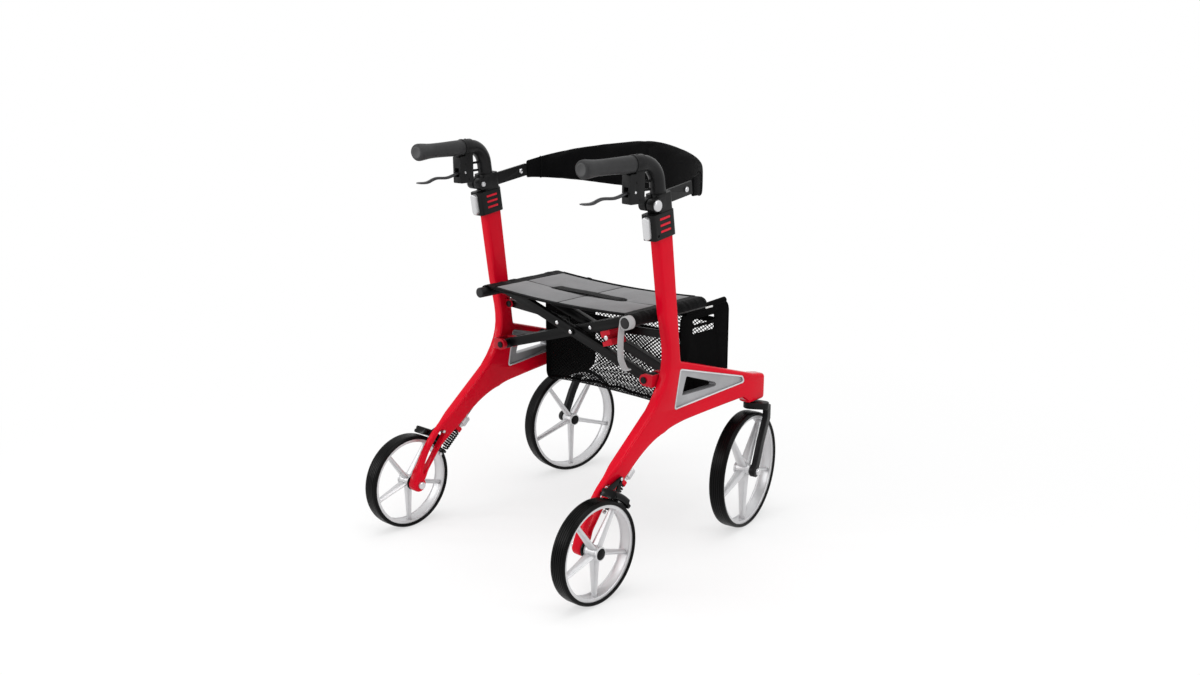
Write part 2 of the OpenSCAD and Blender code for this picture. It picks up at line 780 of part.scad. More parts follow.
// Casters, with the swivel axis at the origin of their plan
fork_gap = 3;
fork_w = 17;
fork_boss = 13;
crown_r = 17;
crown_reach = 6;
fork_shares = [[0.35, 0.93], [0.85, 0.9], [0.85, 0.74], [-0.1, 0.4], [-0.7, 0.12], [-1, 0]];
crown_z = 2 * front_r + crown_gap;
fork_x = tyre_w / 2 + fork_gap;
fork_rise = crown_z + crown_h - front_r;
module on_caster(side) {
    on_side(side) translate([head_x, head_y, 0]) rotate([0, 0, toe]) children();
}
function capsule(p, q, r, s) =
    let (a = atan2(q[1] - p[1], q[0] - p[0]))
        concat(arc(p, r, a + 90, a + 270, 2 * corner_steps), arc(q, s, a - 90, a + 90, 2 * corner_steps));
module front_fork(side) {
    path = [for (p = fork_shares) [trail * p[0], front_r + fork_rise * p[1]]];
    color([0.07, 0.07, 0.07]) on_caster(side) difference() {
        union() {
            translate([0, 0, crown_z]) linear_extrude(crown_h)
                polygon(capsule([0, 0], [fork_x + fork_t / 2, crown_reach], crown_r, fork_t));
            translate([0, 0, crown_z]) cylinder(r = swivel_r, h = crown_h + crown_seat + swivel_len);
            side_plate(fork_x, fork_t) polygon(ribbon(path, fork_w));
            x_rod(fork_boss, fork_x, -trail, front_r, fork_t);
        }
        x_rod(axle_r, 0, -trail, front_r, 2 * fork_x + fork_t);
    }
}
module front_wheel_place(side) {
    on_caster(side) translate([0, -trail, front_r]) mirror([1, 0, 0]) children();
}
module front_rim(side) {
    color("lightgray") front_wheel_place(side) rim(front_r);
}
module front_tyre(side) {
    color([0.06, 0.06, 0.06]) front_wheel_place(side) tyre(front_r);
}
module front_axle(side) {
    end = fork_x + fork_t;
    start = -hub_w / 2 + cap_t + fit;
    color("gainsboro") on_caster(side) {
        x_rod(axle_r, start, -trail, front_r, end + axle_head - start);
        x_rod(axle_head_r, end, -trail, front_r, axle_head);
        x_rod(axle_head_r, hub_w / 2 + fit, -trail, front_r, fork_x - hub_w / 2 - fit);
    }
}

// Rear brake: arm with shoe, spring and cable adjuster
shoe_turn = 63;
shoe_len = 48;
shoe_fillet = 6;
arm_w = 9;
hook_r = 6;
hook_rod_r = 5;
arm_neck = 7;
hook_gap = 2.6;
arm_x = plan_mid(brake_pin[0]) + frame_t / 2 + part_gap;
arm_t = rear_x - tyre_w / 2 - arm_x - part_gap;
module brake_arm(side) {
    axle = [rear_y, rear_r];
    inner = rear_r + shoe_gap;
    shoe_mid = axle + (inner + shoe_t / 2) * [cos(shoe_turn), sin(shoe_turn)];
    color([0.05, 0.05, 0.05]) on_side(side) difference() {
        union() {
            side_plate(arm_x, arm_t) polygon(capsule(brake_pin, hook, arm_w, hook_r));
            side_plate(arm_x, arm_t) polygon(capsule(brake_pin, shoe_mid, arm_neck, shoe_t / 4));
            side_plate(arm_x, rear_x + tyre_w / 2 - arm_x) translate(axle) rotate(shoe_turn - 90)
                polygon(rounded(box_points([-shoe_len / 2, inner], [shoe_len / 2, inner + shoe_t]),
                                shoe_fillet));
            x_rod(hook_rod_r, cable_x - hook_r, hook[0], hook[1], arm_x + arm_t / 2 - cable_x + hook_r);
            x_rod(brake_pin_r - run_fit, arm_x - frame_t, brake_pin[0], brake_pin[1], frame_t + arm_t / 2);
        }
        on_cable() translate([0, 0, -2 * norm(lug - hook)])
            cylinder(r = cable_r + hook_gap, h = 2 * norm(lug - hook));
    }
}

// The spring's wire runs along its helix, with a straight end one wire wide at each side
coil_rings = 8;
wire_sides = 6;
coil_mean = coil_r - wire_r;
coil_len = norm(lug - hook) - lug_len - hook_r - 2 * soft_gap - 2 * wire_r;
function coil_at(k) =
    let (a = 360 * k / coil_rings)
        [coil_mean * cos(a), coil_mean * sin(a), coil_len * k / (curls * coil_rings)];
coil_path = concat(
    [coil_at(0) - [0, 2 * wire_r, 0]],
    [for (k = [0:curls * coil_rings]) coil_at(k)],
    [coil_at(curls * coil_rings) + [0, 2 * wire_r, 0]]
);
function wire_ring(i) =
    let (
        d = unit(coil_path[min(i + 1, len(coil_path) - 1)] - coil_path[max(i - 1, 0)]),
        u = unit(cross(d, [0, 0, 1])),
        v = cross(u, d)
    ) [
        for (k = [0:wire_sides - 1])
            let (a = 360 * k / wire_sides)
                coil_path[i] + wire_r * (cos(a) * u + sin(a) * v)
    ];
coil_gap = min([
    for (i = [0:len(coil_path) - 1], j = [0:len(coil_path) - 1])
        if (j - i >= coil_rings - 2) norm(coil_path[j] - coil_path[i])
]) - 2 * wire_r;
echo(least_gap_between_curls = coil_gap);
module brake_spring(side) {
    color([0.05, 0.05, 0.05]) on_side(side) on_cable()
        translate([0, 0, -lug_len - soft_gap - wire_r - coil_len])
            polyhedron([for (i = [0:len(coil_path) - 1]) each wire_ring(i)],
                       tube_faces(len(coil_path), wire_sides));
}

neck_r = 4.5;
neck_h = 6;
barrel_r = 8.5;
barrel_h = 22;
clip_r = 4;
clip_h = 7;
cable_end = norm(lug - hook) + hook_r + part_gap;
module cable_adjuster(side) {
    color("silver") on_side(side) on_cable() {
        cylinder(r = neck_r, h = neck_h);
        translate([0, 0, neck_h]) cylinder(r = barrel_r, h = barrel_h);
        translate([0, 0, -cable_end]) cylinder(r = cable_r, h = cable_end + cable_len - lug_len - over);
        translate([0, 0, -cable_end - clip_h]) cylinder(r = clip_r, h = clip_h);
    }
}

// Fold under the seat: bars cross at the middle of the walker, on a centre line along y
cross_z = (seat_z + pivot_z) / 2;
fold_y = 9;
bar_b_rear = fold_y - bar_corridor / 2 - bar_t;
bar_a_rear = bar_b_rear - part_gap - bar_t;
bar_b_front = fold_y + bar_corridor / 2;
bar_a_front = bar_b_front + bar_t + part_gap;
pivot_r = 4;
eye_r = 11;
saddle_t = 2;
saddle_low = 4;
ear_t = 9;
bracket_r = 12;
bracket_base = 4;
bracket_gap = 1;
mid_ear_y = fold_y - bar_corridor / 2 + bracket_gap;
mid_ear_t = 12;
rear_ear_y = bar_a_rear - bracket_gap - ear_t;
link_t = 6;
link_w = 16;
link_gap = 1;
link_ear_t = 4;
link_in = 12;
link_x = frame_in - link_in;
link_r = 3;
link_ear_r = 9;
link_y_l = fold_y - link_gap - link_t;
link_y_r = fold_y + link_gap;

// One bar seen from behind, from the right lower pivot to the left rail
module bar_shape(y) {
    rear_plate(y, bar_t) polygon(ribbon([[rail_x, pivot_z], [-rail_x, seat_z]], bar_h));
    y_rod(eye_r, rail_x, y, pivot_z, bar_t);
    y_rod(rail_r + saddle_t, -rail_x, y, seat_z, bar_t);
}
module bar_pair(rear, front) {
    difference() {
        union() {
            bar_shape(rear);
            bar_shape(front);
            y_rod(eye_r, rail_x, bar_a_rear, pivot_z, mid_ear_y - bracket_gap - bar_a_rear);
            y_rod(eye_r, rail_x, mid_ear_y + mid_ear_t + bracket_gap, pivot_z,
                  bar_a_front + bar_t - mid_ear_y - mid_ear_t - bracket_gap);
        }
        translate([-2 * rail_x, bar_a_rear - over, seat_z - saddle_low])
            cube([2 * rail_x, bar_a_front + bar_t - bar_a_rear + 2 * over, bar_h + rail_r]);
        y_rod(rail_r + fit, -rail_x, bar_a_rear - over, seat_z, bar_a_front + bar_t - bar_a_rear + 2 * over);
        for (p = [[rail_x, pivot_z], [0, cross_z]])
            y_rod(pivot_r + run_fit, p[0], bar_a_rear - over, p[1],
                  bar_a_front + bar_t - bar_a_rear + 2 * over);
    }
}
module cross_bars_a() {
    color([0.06, 0.06, 0.06]) bar_pair(bar_a_rear, bar_a_front);
}
module cross_bars_b() {
    color([0.06, 0.06, 0.06]) mirror([1, 0, 0]) bar_pair(bar_b_rear, bar_b_front);
}

pivot_head_r = 7;
pivot_head = 3;
module headed_bolt(x, y, z, length) {
    y_rod(pivot_r, x, y - pivot_head, z, length + 2 * pivot_head);
    y_rod(pivot_head_r, x, y - pivot_head, z, pivot_head);
    y_rod(pivot_head_r, x, y + length, z, pivot_head);
}
module centre_bolts() {
    pair = 2 * bar_t + part_gap;
    color("silver") {
        headed_bolt(0, bar_a_rear, cross_z, pair);
        headed_bolt(0, bar_b_front, cross_z, pair);
    }
}

module pivot_bracket(side) {
    link_y = side == right ? link_y_r : link_y_l;
    color("crimson") on_side(side) {
        difference() {
            union() {
                translate([frame_in - bracket_base, rear_ear_y, pivot_z - bracket_r])
                    cube([bracket_base, mid_ear_y + mid_ear_t - rear_ear_y, 2 * bracket_r]);
                for (ear = [[rear_ear_y, ear_t], [mid_ear_y, mid_ear_t]]) {
                    y_rod(bracket_r, rail_x, ear[0], pivot_z, ear[1]);
                    translate([rail_x, ear[0], pivot_z - bracket_r])
                        cube([frame_in - rail_x, ear[1], 2 * bracket_r]);
                }
            }
            y_rod(pivot_r, rail_x, rear_ear_y - over, pivot_z, bar_a_front + bar_t - rear_ear_y);
        }
        difference() {
            union()
                for (y = [link_y - link_gap - link_ear_t, link_y + link_t + link_gap]) {
                    y_rod(link_ear_r, link_x, y, link_z, link_ear_t);
                    translate([link_x, y, link_z - link_ear_r])
                        cube([frame_in - link_x, link_ear_t, 2 * link_ear_r]);
                }
            y_rod(link_r, link_x, link_y - 2 * link_t, link_z, 6 * link_t);
        }
    }
}

module pivot_bolts(side) {
    link_y = side == right ? link_y_r : link_y_l;
    color("silver") on_side(side) {
        headed_bolt(rail_x, rear_ear_y, pivot_z, bar_a_front + bar_t + bracket_gap - rear_ear_y);
        y_rod(link_r, link_x, link_y - link_gap - link_ear_t - pivot_head, link_z,
              link_t + 2 * link_gap + 2 * link_ear_t + 2 * pivot_head);
        y_rod(pivot_head_r, link_x, link_y - link_gap - link_ear_t - pivot_head, link_z, pivot_head);
    }
}

// The link ends beside the bar at link_reach from the fold's centre
module side_link(side) {
    link_y = side == right ? link_y_r : link_y_l;
    rise = atan2(seat_z - cross_z, rail_x);
    inner = [link_reach * cos(rise), cross_z + link_reach * sin(rise)];
    color([0.06, 0.06, 0.06]) on_side(side) difference() {
        rear_plate(link_y, link_t) polygon(capsule(inner, [link_x, link_z], link_w / 2, link_w / 2));
        y_rod(link_r + run_fit, link_x, link_y - over, link_z, link_t + 2 * over);
        y_rod(link_r + run_fit, inner[0], link_y - over, inner[1], link_t + 2 * over);
    }
}

rail_rear = -98;
cap_proud = 0.8;
module seat_rail(side) {
    color([0.1, 0.1, 0.1]) on_side(side) {
        y_rod(rail_r, rail_x, rail_rear, seat_z, rail_len);
        y_rod(rail_r - cap_proud, rail_x, rail_rear - cap_proud, seat_z, rail_len + 2 * cap_proud);
    }
}

// Latch under the rear bar that climbs to the right rail
latch_at = 98;
latch_w = 26;
latch_h = 31;
latch_t = 42;
latch_cut = 9;
module fold_latch() {
    rise = atan2(seat_z - cross_z, rail_x);
    color("crimson") translate([0, bar_b_rear + bar_t - latch_t, cross_z]) rotate([0, -rise, 0])
        translate([latch_at, 0, -bar_h / 2 - fit - latch_h]) difference() {
            cube([latch_w, latch_t, latch_h]);
            translate([-over, -over, latch_cut]) cube([latch_cut + over, latch_t + 2 * over, latch_cut]);
            translate([latch_w - latch_cut, -over, latch_h - 2 * latch_cut])
                cube([latch_cut + over, latch_t + 2 * over, latch_cut]);
            translate([latch_w / 2, latch_t + over, latch_h / 2]) rotate([90, 0, 0])
                cylinder(r = link_r, h = latch_t + 2 * over);
        }
}

// Pull strap that hangs on the right rail's rear end
strap_w = 16;
strap_t = 2.4;
strap_shares = [[-1, 0], [-1.35, -0.25], [-1.55, -0.5], [-1.3, -0.78], [-0.5, -0.97], [0.3, -0.96]];
strap_drop = 98;
module fold_strap() {
    hang = rail_r + soft_gap + strap_t / 2;
    tail = [for (p = strap_shares) [rail_x + p[0] * hang, seat_z + p[1] * strap_drop]];
    color("darkgray") difference() {
        union() {
            y_rod(hang + strap_t / 2, rail_x, rail_rear, seat_z, strap_w);
            rear_plate(rail_rear, strap_w) polygon(ribbon(concat(
                curve(tail[0], tail[1], tail[2], tail[3]),
                curve(tail[3], tail[4], tail[4], tail[5]), [tail[5]]), strap_t));
        }
        y_rod(rail_r + soft_gap, rail_x, rail_rear - over, seat_z, strap_w + 2 * over);
    }
}

// Seat: a quilted sheet that wraps over both rails
strap_gap = 1;
seat_rear = rail_rear + strap_w + strap_gap;
seat_len = 224;
sheet_t = 2.4;
skirt_steps = 4;
seat_cols = 20;
seat_rows = 20;
channel_w = 8;
band_from_share = 0.38;
band_to_share = 0.54;
pad_round_share = 0.4;
function swell(t) = t <= 0 || t >= 1 ? 0 : pow(4 * t * (1 - t), pad_round_share);
function pad_rise(x, v) =
    let (u = (abs(x) - channel_w) / (rail_x - rail_r - channel_w))
        pad_h * swell(u) * (v < band_from_share ? swell(v / band_from_share)
            : v > band_to_share ? swell((v - band_to_share) / (1 - band_to_share)) : 0);
function sag(x) = seat_sag * (1 - x * x / (rail_x * rail_x));
function seat_edge(s, r) = [
    for (i = [0:skirt_steps - 1])
        let (a = 180 - 90 * i / skirt_steps)
            [s * (-rail_x + r * cos(a)), seat_z + r * sin(a)]
];
function seat_line(v, r, padded) =
    let (edge = seat_edge(1, r), far = seat_edge(-1, r)) concat(
        edge,
        [for (i = [0:seat_cols])
            let (x = -rail_x + 2 * rail_x * i / seat_cols)
                [x, seat_z + r - sag(x) + padded * pad_rise(x, v)]],
        [for (i = [skirt_steps - 1:-1:0]) far[i]]
    );
function seat_ring(j) =
    let (
        v = j / seat_rows,
        y = seat_rear + seat_len * v,
        low = seat_line(v, rail_r + soft_gap, 0),
        high = seat_line(v, rail_r + soft_gap + sheet_t, 1)
    ) [
        for (p = low) [p[0], y, p[1]],
        for (i = [len(high) - 1:-1:0]) [high[i][0], y, high[i][1]]
    ];
module seat_fabric() {
    n = len(seat_ring(0));
    last = seat_rows * n;
    color([0.3, 0.3, 0.31]) polyhedron(
        [for (j = [0:seat_rows]) each seat_ring(j)],
        concat(
            [for (j = [0:seat_rows - 1], i = [0:n - 1]) each [
                [j * n + i, (j + 1) * n + (i + 1) % n, j * n + (i + 1) % n],
                [j * n + i, (j + 1) * n + i, (j + 1) * n + (i + 1) % n]
            ]],
            [for (i = [0:n / 2 - 2]) each [
                [i, i + 1, n - 1 - i], [i + 1, n - 2 - i, n - 1 - i],
                [last + i + 1, last + i, last + n - 1 - i], [last + n - 2 - i, last + i + 1, last + n - 1 - i]
            ]]
        ));
}

// Bag: two stiff side panels on studs, and a mesh sling between them
bag_rear = 92;
panel_x = rail_x - rail_r - part_gap;
bag_fillet = 26;
bag_top_rise = 8;
hand_from_share = 0.23;
hand_to_share = 0.7;
hand_low = 32;
hand_h = 13;
hand_rib = 6;
hand_fillet = 5;
stud_r = 5;
stud_shares = [[0.44, 0.745], [0.71, 0.22]];
sling_t = 2;
function bag_outline(rise) = [
    [bag_rear, bag_z], [bag_rear + bag_len, bag_z],
    [bag_rear + bag_len, bag_z + bag_h + rise], [bag_rear, bag_z + bag_h]
];
module bag_panel(side) {
    from = bag_rear + hand_from_share * bag_len;
    to = bag_rear + hand_to_share * bag_len;
    top = bag_z + bag_h - hand_low;
    rise = side == right ? bag_top_rise : 0;
    color([0.03, 0.03, 0.03]) on_side(side) {
        difference() {
            side_plate(panel_x - panel_t, panel_t) polygon(rounded(bag_outline(rise), bag_fillet));
            for (z = [top, top - hand_h - hand_rib])
                side_plate(panel_x - panel_t - over, panel_t + 2 * over)
                    polygon(rounded(box_points([from, z], [to, z + hand_h]), hand_fillet));
        }
        for (p = stud_shares) {
            at = arm_at(p);
            x_rod(stud_r, panel_x, at[0], at[1], plan_mid(at[0]) - plan_half(at[0]) - soft_gap - panel_x);
        }
    }
}
sling_rear_h_share = 0.82;
module bag_sling() {
    outer = inset(bag_outline(0), soft_gap);
    w = panel_x - panel_t - soft_gap;
    color([0.2, 0.2, 0.2]) difference() {
        side_plate(-w, 2 * w) difference() {
            polygon(rounded(outer, bag_fillet));
            polygon(rounded(inset(outer, sling_t), bag_fillet - sling_t));
        }
        translate([-panel_x, bag_rear - over, bag_z + sling_rear_h_share * bag_h])
            cube([2 * panel_x, bag_len + 2 * over, bag_h]);
    }
}

side_frame(right);  // side_frame_r
side_frame(left);  // side_frame_l
window_bezel(right);  // window_bezel_r
window_bezel(left);  // window_bezel_l
lock_housing(right);  // lock_housing_r
lock_housing(left);  // lock_housing_l
height_button(right);  // height_button_r
height_button(left);  // height_button_l
handle_stem(right);  // handle_stem_r
handle_stem(left);  // handle_stem_l
grip(right);  // grip_r
grip(left);  // grip_l
brake_housing(right);  // brake_housing_r
brake_housing(left);  // brake_housing_l
brake_lever(right);  // brake_lever_r
brake_lever(left);  // brake_lever_l
lever_pin(right);  // lever_pin_r
lever_pin(left);  // lever_pin_l
backrest_clamp(right);  // backrest_clamp_r
backrest_clamp(left);  // backrest_clamp_l
clamp_bolts(right);  // clamp_bolts_r
clamp_bolts(left);  // clamp_bolts_l
backrest_pad();
rear_rim(right);  // rear_rim_r
rear_rim(left);  // rear_rim_l
rear_tyre(right);  // rear_tyre_r
rear_tyre(left);  // rear_tyre_l
rear_axle(right);  // rear_axle_r
rear_axle(left);  // rear_axle_l
front_fork(right);  // front_fork_r
front_fork(left);  // front_fork_l
front_rim(right);  // front_rim_r
front_rim(left);  // front_rim_l
front_tyre(right);  // front_tyre_r
front_tyre(left);  // front_tyre_l
front_axle(right);  // front_axle_r
front_axle(left);  // front_axle_l
brake_arm(right);  // brake_arm_r
brake_arm(left);  // brake_arm_l
brake_spring(right);  // brake_spring_r
brake_spring(left);  // brake_spring_l
cable_adjuster(right);  // cable_adjuster_r
cable_adjuster(left);  // cable_adjuster_l
pivot_bracket(right);  // pivot_bracket_r
pivot_bracket(left);  // pivot_bracket_l
pivot_bolts(right);  // pivot_bolts_r
pivot_bolts(left);  // pivot_bolts_l
seat_rail(right);  // seat_rail_r
seat_rail(left);  // seat_rail_l
side_link(right);  // side_link_r
side_link(left);  // side_link_l
cross_bars_a();
cross_bars_b();
centre_bolts();
fold_latch();
fold_strap();
seat_fabric();
bag_panel(right);  // bag_panel_r
bag_panel(left);  // bag_panel_l
bag_sling();
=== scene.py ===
import bpy
import math
import random
from mathutils import Matrix, Vector


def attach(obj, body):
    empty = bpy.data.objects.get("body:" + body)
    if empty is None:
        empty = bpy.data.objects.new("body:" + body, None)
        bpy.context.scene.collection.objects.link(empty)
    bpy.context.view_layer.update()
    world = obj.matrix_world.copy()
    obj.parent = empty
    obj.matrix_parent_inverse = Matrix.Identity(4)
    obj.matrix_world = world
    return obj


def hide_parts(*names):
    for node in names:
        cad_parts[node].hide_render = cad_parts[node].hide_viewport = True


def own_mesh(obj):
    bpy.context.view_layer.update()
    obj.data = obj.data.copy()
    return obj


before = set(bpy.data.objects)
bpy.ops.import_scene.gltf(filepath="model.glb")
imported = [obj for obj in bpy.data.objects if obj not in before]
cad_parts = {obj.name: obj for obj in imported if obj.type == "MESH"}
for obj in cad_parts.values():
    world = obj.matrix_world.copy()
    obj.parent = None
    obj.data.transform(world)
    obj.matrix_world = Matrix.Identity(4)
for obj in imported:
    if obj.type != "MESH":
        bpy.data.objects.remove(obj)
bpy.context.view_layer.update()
mm = 0.001
print("frame loaded:", len(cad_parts), "nodes")

# the walker's main sizes in mm, as in the part's source
walker = {
    "rearR": 101.6, "frontR": 127.0, "wheelbase": 494.0, "toe": 9.0, "trail": 28.0,
    "frameX": 241.0, "frameT": 25.0, "postLean": 8.3, "postY": -8.0, "postZ": 512.0,
    "postDepth": 45.0, "postLen": 202.0, "elbowZ": 409.0, "headX": 255.0, "headZ": 276.0,
    "headT": 30.0, "headLen": 56.0, "headH": 56.0, "railX": 207.5, "seatZ": 501.0,
    "gripRise": 98.1, "elbowR": 42.0, "handleToe": 4.0, "rearX": 275.75,
    "crossZ": 438.0, "crossRise": 63.0,
}
w = walker
toeTurn = math.radians(w["toe"])
rearY = -(w["wheelbase"] + w["frontR"] * math.cos(toeTurn) - w["rearR"]) / 2
frontY = rearY + w["wheelbase"]
headY = frontY + w["trail"] * math.cos(toeTurn)
lean = math.radians(w["postLean"])
gripS = w["postLen"] + w["gripRise"]
elbowTurn = math.pi / 2 - lean
elbowS = gripS - w["elbowR"] * math.tan(elbowTurn / 2)
legRun, legRise = w["postY"] - rearY, w["elbowZ"] - w["rearR"]
armRun, armRise = headY - w["postY"], w["elbowZ"] - w["headZ"]
postRear, postFront = w["postY"] - w["postDepth"], w["postY"] + w["postDepth"]
headRear = headY - w["headLen"] / 2
barTurn = math.atan2(w["crossRise"], w["railX"])
sides = (("r", 1), ("l", -1))
flipX = Matrix.Scale(-1, 4, (1, 0, 0))


def move(x, y, z):
    return Matrix.Translation((x * mm, y * mm, z * mm))


def turnBy(degrees, axis):
    return Matrix.Rotation(math.radians(degrees), 4, axis)


def alongX(place):
    return place @ turnBy(90, "Y")


def inPlace(place, points):
    return [(place @ (Vector(p) * mm)) / mm for p in points]


# places that pieces are built in: post, handle, grip, caster
onPost = move(w["frameX"], w["postY"], w["postZ"]) @ turnBy(w["postLean"], "X")
onHandle = onPost @ turnBy(-w["handleToe"], "Z")
onGrip = (onHandle @ move(0, -w["elbowR"], elbowS) @ Matrix.Rotation(elbowTurn, 4, "X")
          @ move(0, w["elbowR"], 0))
onCaster = move(w["headX"], headY, 0) @ turnBy(w["toe"], "Z")


# hand tools
def pick(obj):
    if bpy.context.mode != "OBJECT":
        bpy.ops.object.mode_set(mode="OBJECT")
    bpy.ops.object.select_all(action="DESELECT")
    obj.hide_set(False)
    obj.select_set(True)
    bpy.context.view_layer.objects.active = obj
    return obj


def editAll(obj):
    pick(obj)
    bpy.ops.object.mode_set(mode="EDIT")
    bpy.ops.mesh.select_all(action="SELECT")


def leave():
    bpy.ops.object.mode_set(mode="OBJECT")


def applyAll(obj):
    pick(obj)
    for modifier in list(obj.modifiers):
        bpy.ops.object.modifier_apply(modifier=modifier.name)
    return obj


def modify(obj, kind, **values):
    # adds a modifier with these settings and applies it
    modifier = obj.modifiers.new(kind.lower(), kind)
    for key, value in values.items():
        setattr(modifier, key, value)
    return applyAll(obj)


def addObject(name, data):
    obj = bpy.data.objects.new(name, data)
    bpy.context.scene.collection.objects.link(obj)
    return obj


def newObject(name, verts, faces, edges=()):
    mesh = bpy.data.meshes.new(name)
    mesh.from_pydata([Vector(v) * mm for v in verts], list(edges), list(faces))
    return addObject(name, mesh)


def closeUp(obj, merge=0.00001):
    editAll(obj)
    bpy.ops.mesh.remove_doubles(threshold=merge)
    bpy.ops.mesh.normals_make_consistent(inside=False)
    leave()
    return obj


def smooth(obj, degrees=32):
    pick(obj)
    bpy.ops.object.shade_smooth_by_angle(angle=math.radians(degrees))
    return obj


def softEdges(obj, width, segments=3, degrees=30):
    modify(obj, "BEVEL", width=width * mm, segments=segments, limit_method="ANGLE",
           angle_limit=math.radians(degrees))
    return smooth(obj)


def subdivide(obj, levels=1):
    modify(obj, "SUBSURF", levels=levels, render_levels=levels)
    return smooth(obj, 60)


def thicken(obj, t, offset=-1.0):
    modify(obj, "SOLIDIFY", thickness=t * mm, offset=offset)
    return smooth(obj, 60)


def cut(obj, cutter):
    modify(obj, "BOOLEAN", operation="DIFFERENCE", solver="EXACT", object=cutter)
    bpy.data.objects.remove(cutter)
    return obj


def join(first, *others):
    pick(first)
    for other in others:
        other.select_set(True)
    bpy.ops.object.join()
    return first


def flipOver(obj):
    obj.data.transform(flipX)
    obj.data.flip_normals()
    return obj


def mirrorCopy(obj, name):
    other = obj.copy()
    other.data = obj.data.copy()
    other.name = name
    bpy.context.scene.collection.objects.link(other)
    return flipOver(other)


def copyNode(node, name):
    obj = pick(addObject(name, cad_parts[node].data.copy()))
    bpy.ops.mesh.customdata_custom_splitnormals_clear()
    editAll(obj)
    bpy.ops.mesh.remove_doubles(threshold=0.00001)
    bpy.ops.mesh.dissolve_limited(angle_limit=math.radians(0.6))
    leave()
    return obj


def dress(obj, body, finish, *nodes, slot=None):
    obj.data.materials.clear()
    obj.data.materials.append(finishes[finish])
    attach(obj, body)
    if nodes:
        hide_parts(*nodes)
    return obj


def bothSides(obj, base, body, finish, *nodes, slot=None):
    # the right-hand piece and its mirror image
    obj.name = base + "_r"
    other = mirrorCopy(obj, base + "_l")
    for (tag, sign), piece in zip(sides, (obj, other)):
        dress(piece, body + "_" + tag, finish, *(n + "_" + tag for n in nodes), slot=slot)
    return obj, other


def plainCopy(node, body, finish, width=0.8, segments=3, slot=None):
    # the solid's own shape with its edges softened
    obj = copyNode(node, node + "_body")
    softEdges(obj, width, segments)
    return dress(obj, body, finish, node, slot=slot)


# lines
def steps(a, b, n):
    return [a + (b - a) * i / n for i in range(n + 1)]


def between(y, stops):
    # the value at y on straight runs between stops
    if y <= stops[0][0]:
        return stops[0][1]
    for (a, va), (b, vb) in zip(stops, stops[1:]):
        if y <= b:
            return va + (vb - va) * (y - a) / (b - a)
    return stops[-1][1]


def ease(v):
    v = max(0.0, min(1.0, v))
    return v * v * (3 - 2 * v)


def power(v, k):
    return math.copysign(abs(v) ** k, v)


def bez(a, b, c, d, n=10):
    a, b, c, d = Vector(a), Vector(b), Vector(c), Vector(d)
    points = []
    for i in range(n):
        t = i / n
        u = 1 - t
        points.append(u * u * u * a + 3 * u * u * t * b + 3 * u * t * t * c + t * t * t * d)
    return points


def arc(centre, r, start, stop, n):
    points = []
    for i in range(n + 1):
        q = math.radians(start + (stop - start) * i / n)
        points.append(Vector(centre) + r * Vector((math.cos(q), math.sin(q))))
    return points


def circle(n):
    return [2 * math.pi * k / n for k in range(n)]


def cornerWays(a, p, b):
    # the two ways out of a corner, its bisector and half its angle
    u, v = (a - p).normalized(), (b - p).normalized()
    return u, v, (u + v).normalized(), math.acos(max(-1, min(1, u.dot(v)))) / 2


def roundCorner(a, p, b, r, n=5):
    a, p, b = Vector(a), Vector(p), Vector(b)
    u, v, middle, half = cornerWays(a, p, b)
    centre = p + middle * r / math.sin(half)
    s, e = p + u * r / math.tan(half) - centre, p + v * r / math.tan(half) - centre
    start = math.degrees(math.atan2(s.y, s.x))
    swing = (math.degrees(math.atan2(e.y, e.x)) - start + 900) % 360 - 180
    return arc(centre, r, start, start + swing, n)


def rounded(points, r, n=5):
    out = []
    for i, p in enumerate(points):
        out += roundCorner(points[i - 1], p, points[(i + 1) % len(points)], r, n)
    return out


def insetPoints(points, d):
    out = []
    for i, p in enumerate(points):
        u, v, middle, half = cornerWays(points[i - 1], p, points[(i + 1) % len(points)])
        out.append(p + middle * d / math.sin(half))
    return out


def capsule(a, b, ra, rb, n=10):
    # the outline round two circles
    turn = math.degrees(math.atan2(b.y - a.y, b.x - a.x))
    return arc(a, ra, turn + 90, turn + 270, n) + arc(b, rb, turn - 90, turn + 90, n)


def easePath(points, n=6):
    # a smooth line through all the points
    pts = [Vector(p) for p in points]
    out = []
    for i in range(len(pts) - 1):
        a, b = pts[max(i - 1, 0)], pts[i]
        c, d = pts[i + 1], pts[min(i + 2, len(pts) - 1)]
        for k in range(n):
            t = k / n
            out.append(0.5 * (2 * b + (c - a) * t + (2 * a - 5 * b + 4 * c - d) * t * t
                              + (3 * b - a - 3 * c + d) * t * t * t))
    return out + [pts[-1]]


# shapes from lines
def drawn(name, points, loop, **shape):
    # a curve through the points, made a mesh
    data = bpy.data.curves.new(name, "CURVE")
    for key, value in shape.items():
        setattr(data, key, value)
    line = data.splines.new("POLY")
    line.points.add(len(points) - 1)
    for spot, p in zip(line.points, points):
        spot.co = (*(Vector(p).to_3d() * mm), 1)
    line.use_cyclic_u = loop
    pick(addObject(name, data))
    bpy.ops.object.convert(target="MESH")
    return closeUp(bpy.context.view_layer.objects.active)


def tube(name, points, r, loop=False, sidesOf=4):
    obj = drawn(name, points, loop, dimensions="3D", bevel_depth=r * mm, bevel_resolution=sidesOf,
                use_fill_caps=not loop)
    return smooth(obj, 50)


def plate(name, outline, t, edge=0.0, rounds=4):
    # a flat outline with rounded edges; its own x, y and z are the walker's y, z and x
    return drawn(name, outline, True, dimensions="2D", fill_mode="BOTH", extrude=(t / 2 - edge) * mm,
                 bevel_depth=edge * mm, bevel_resolution=rounds, offset=-edge * mm)


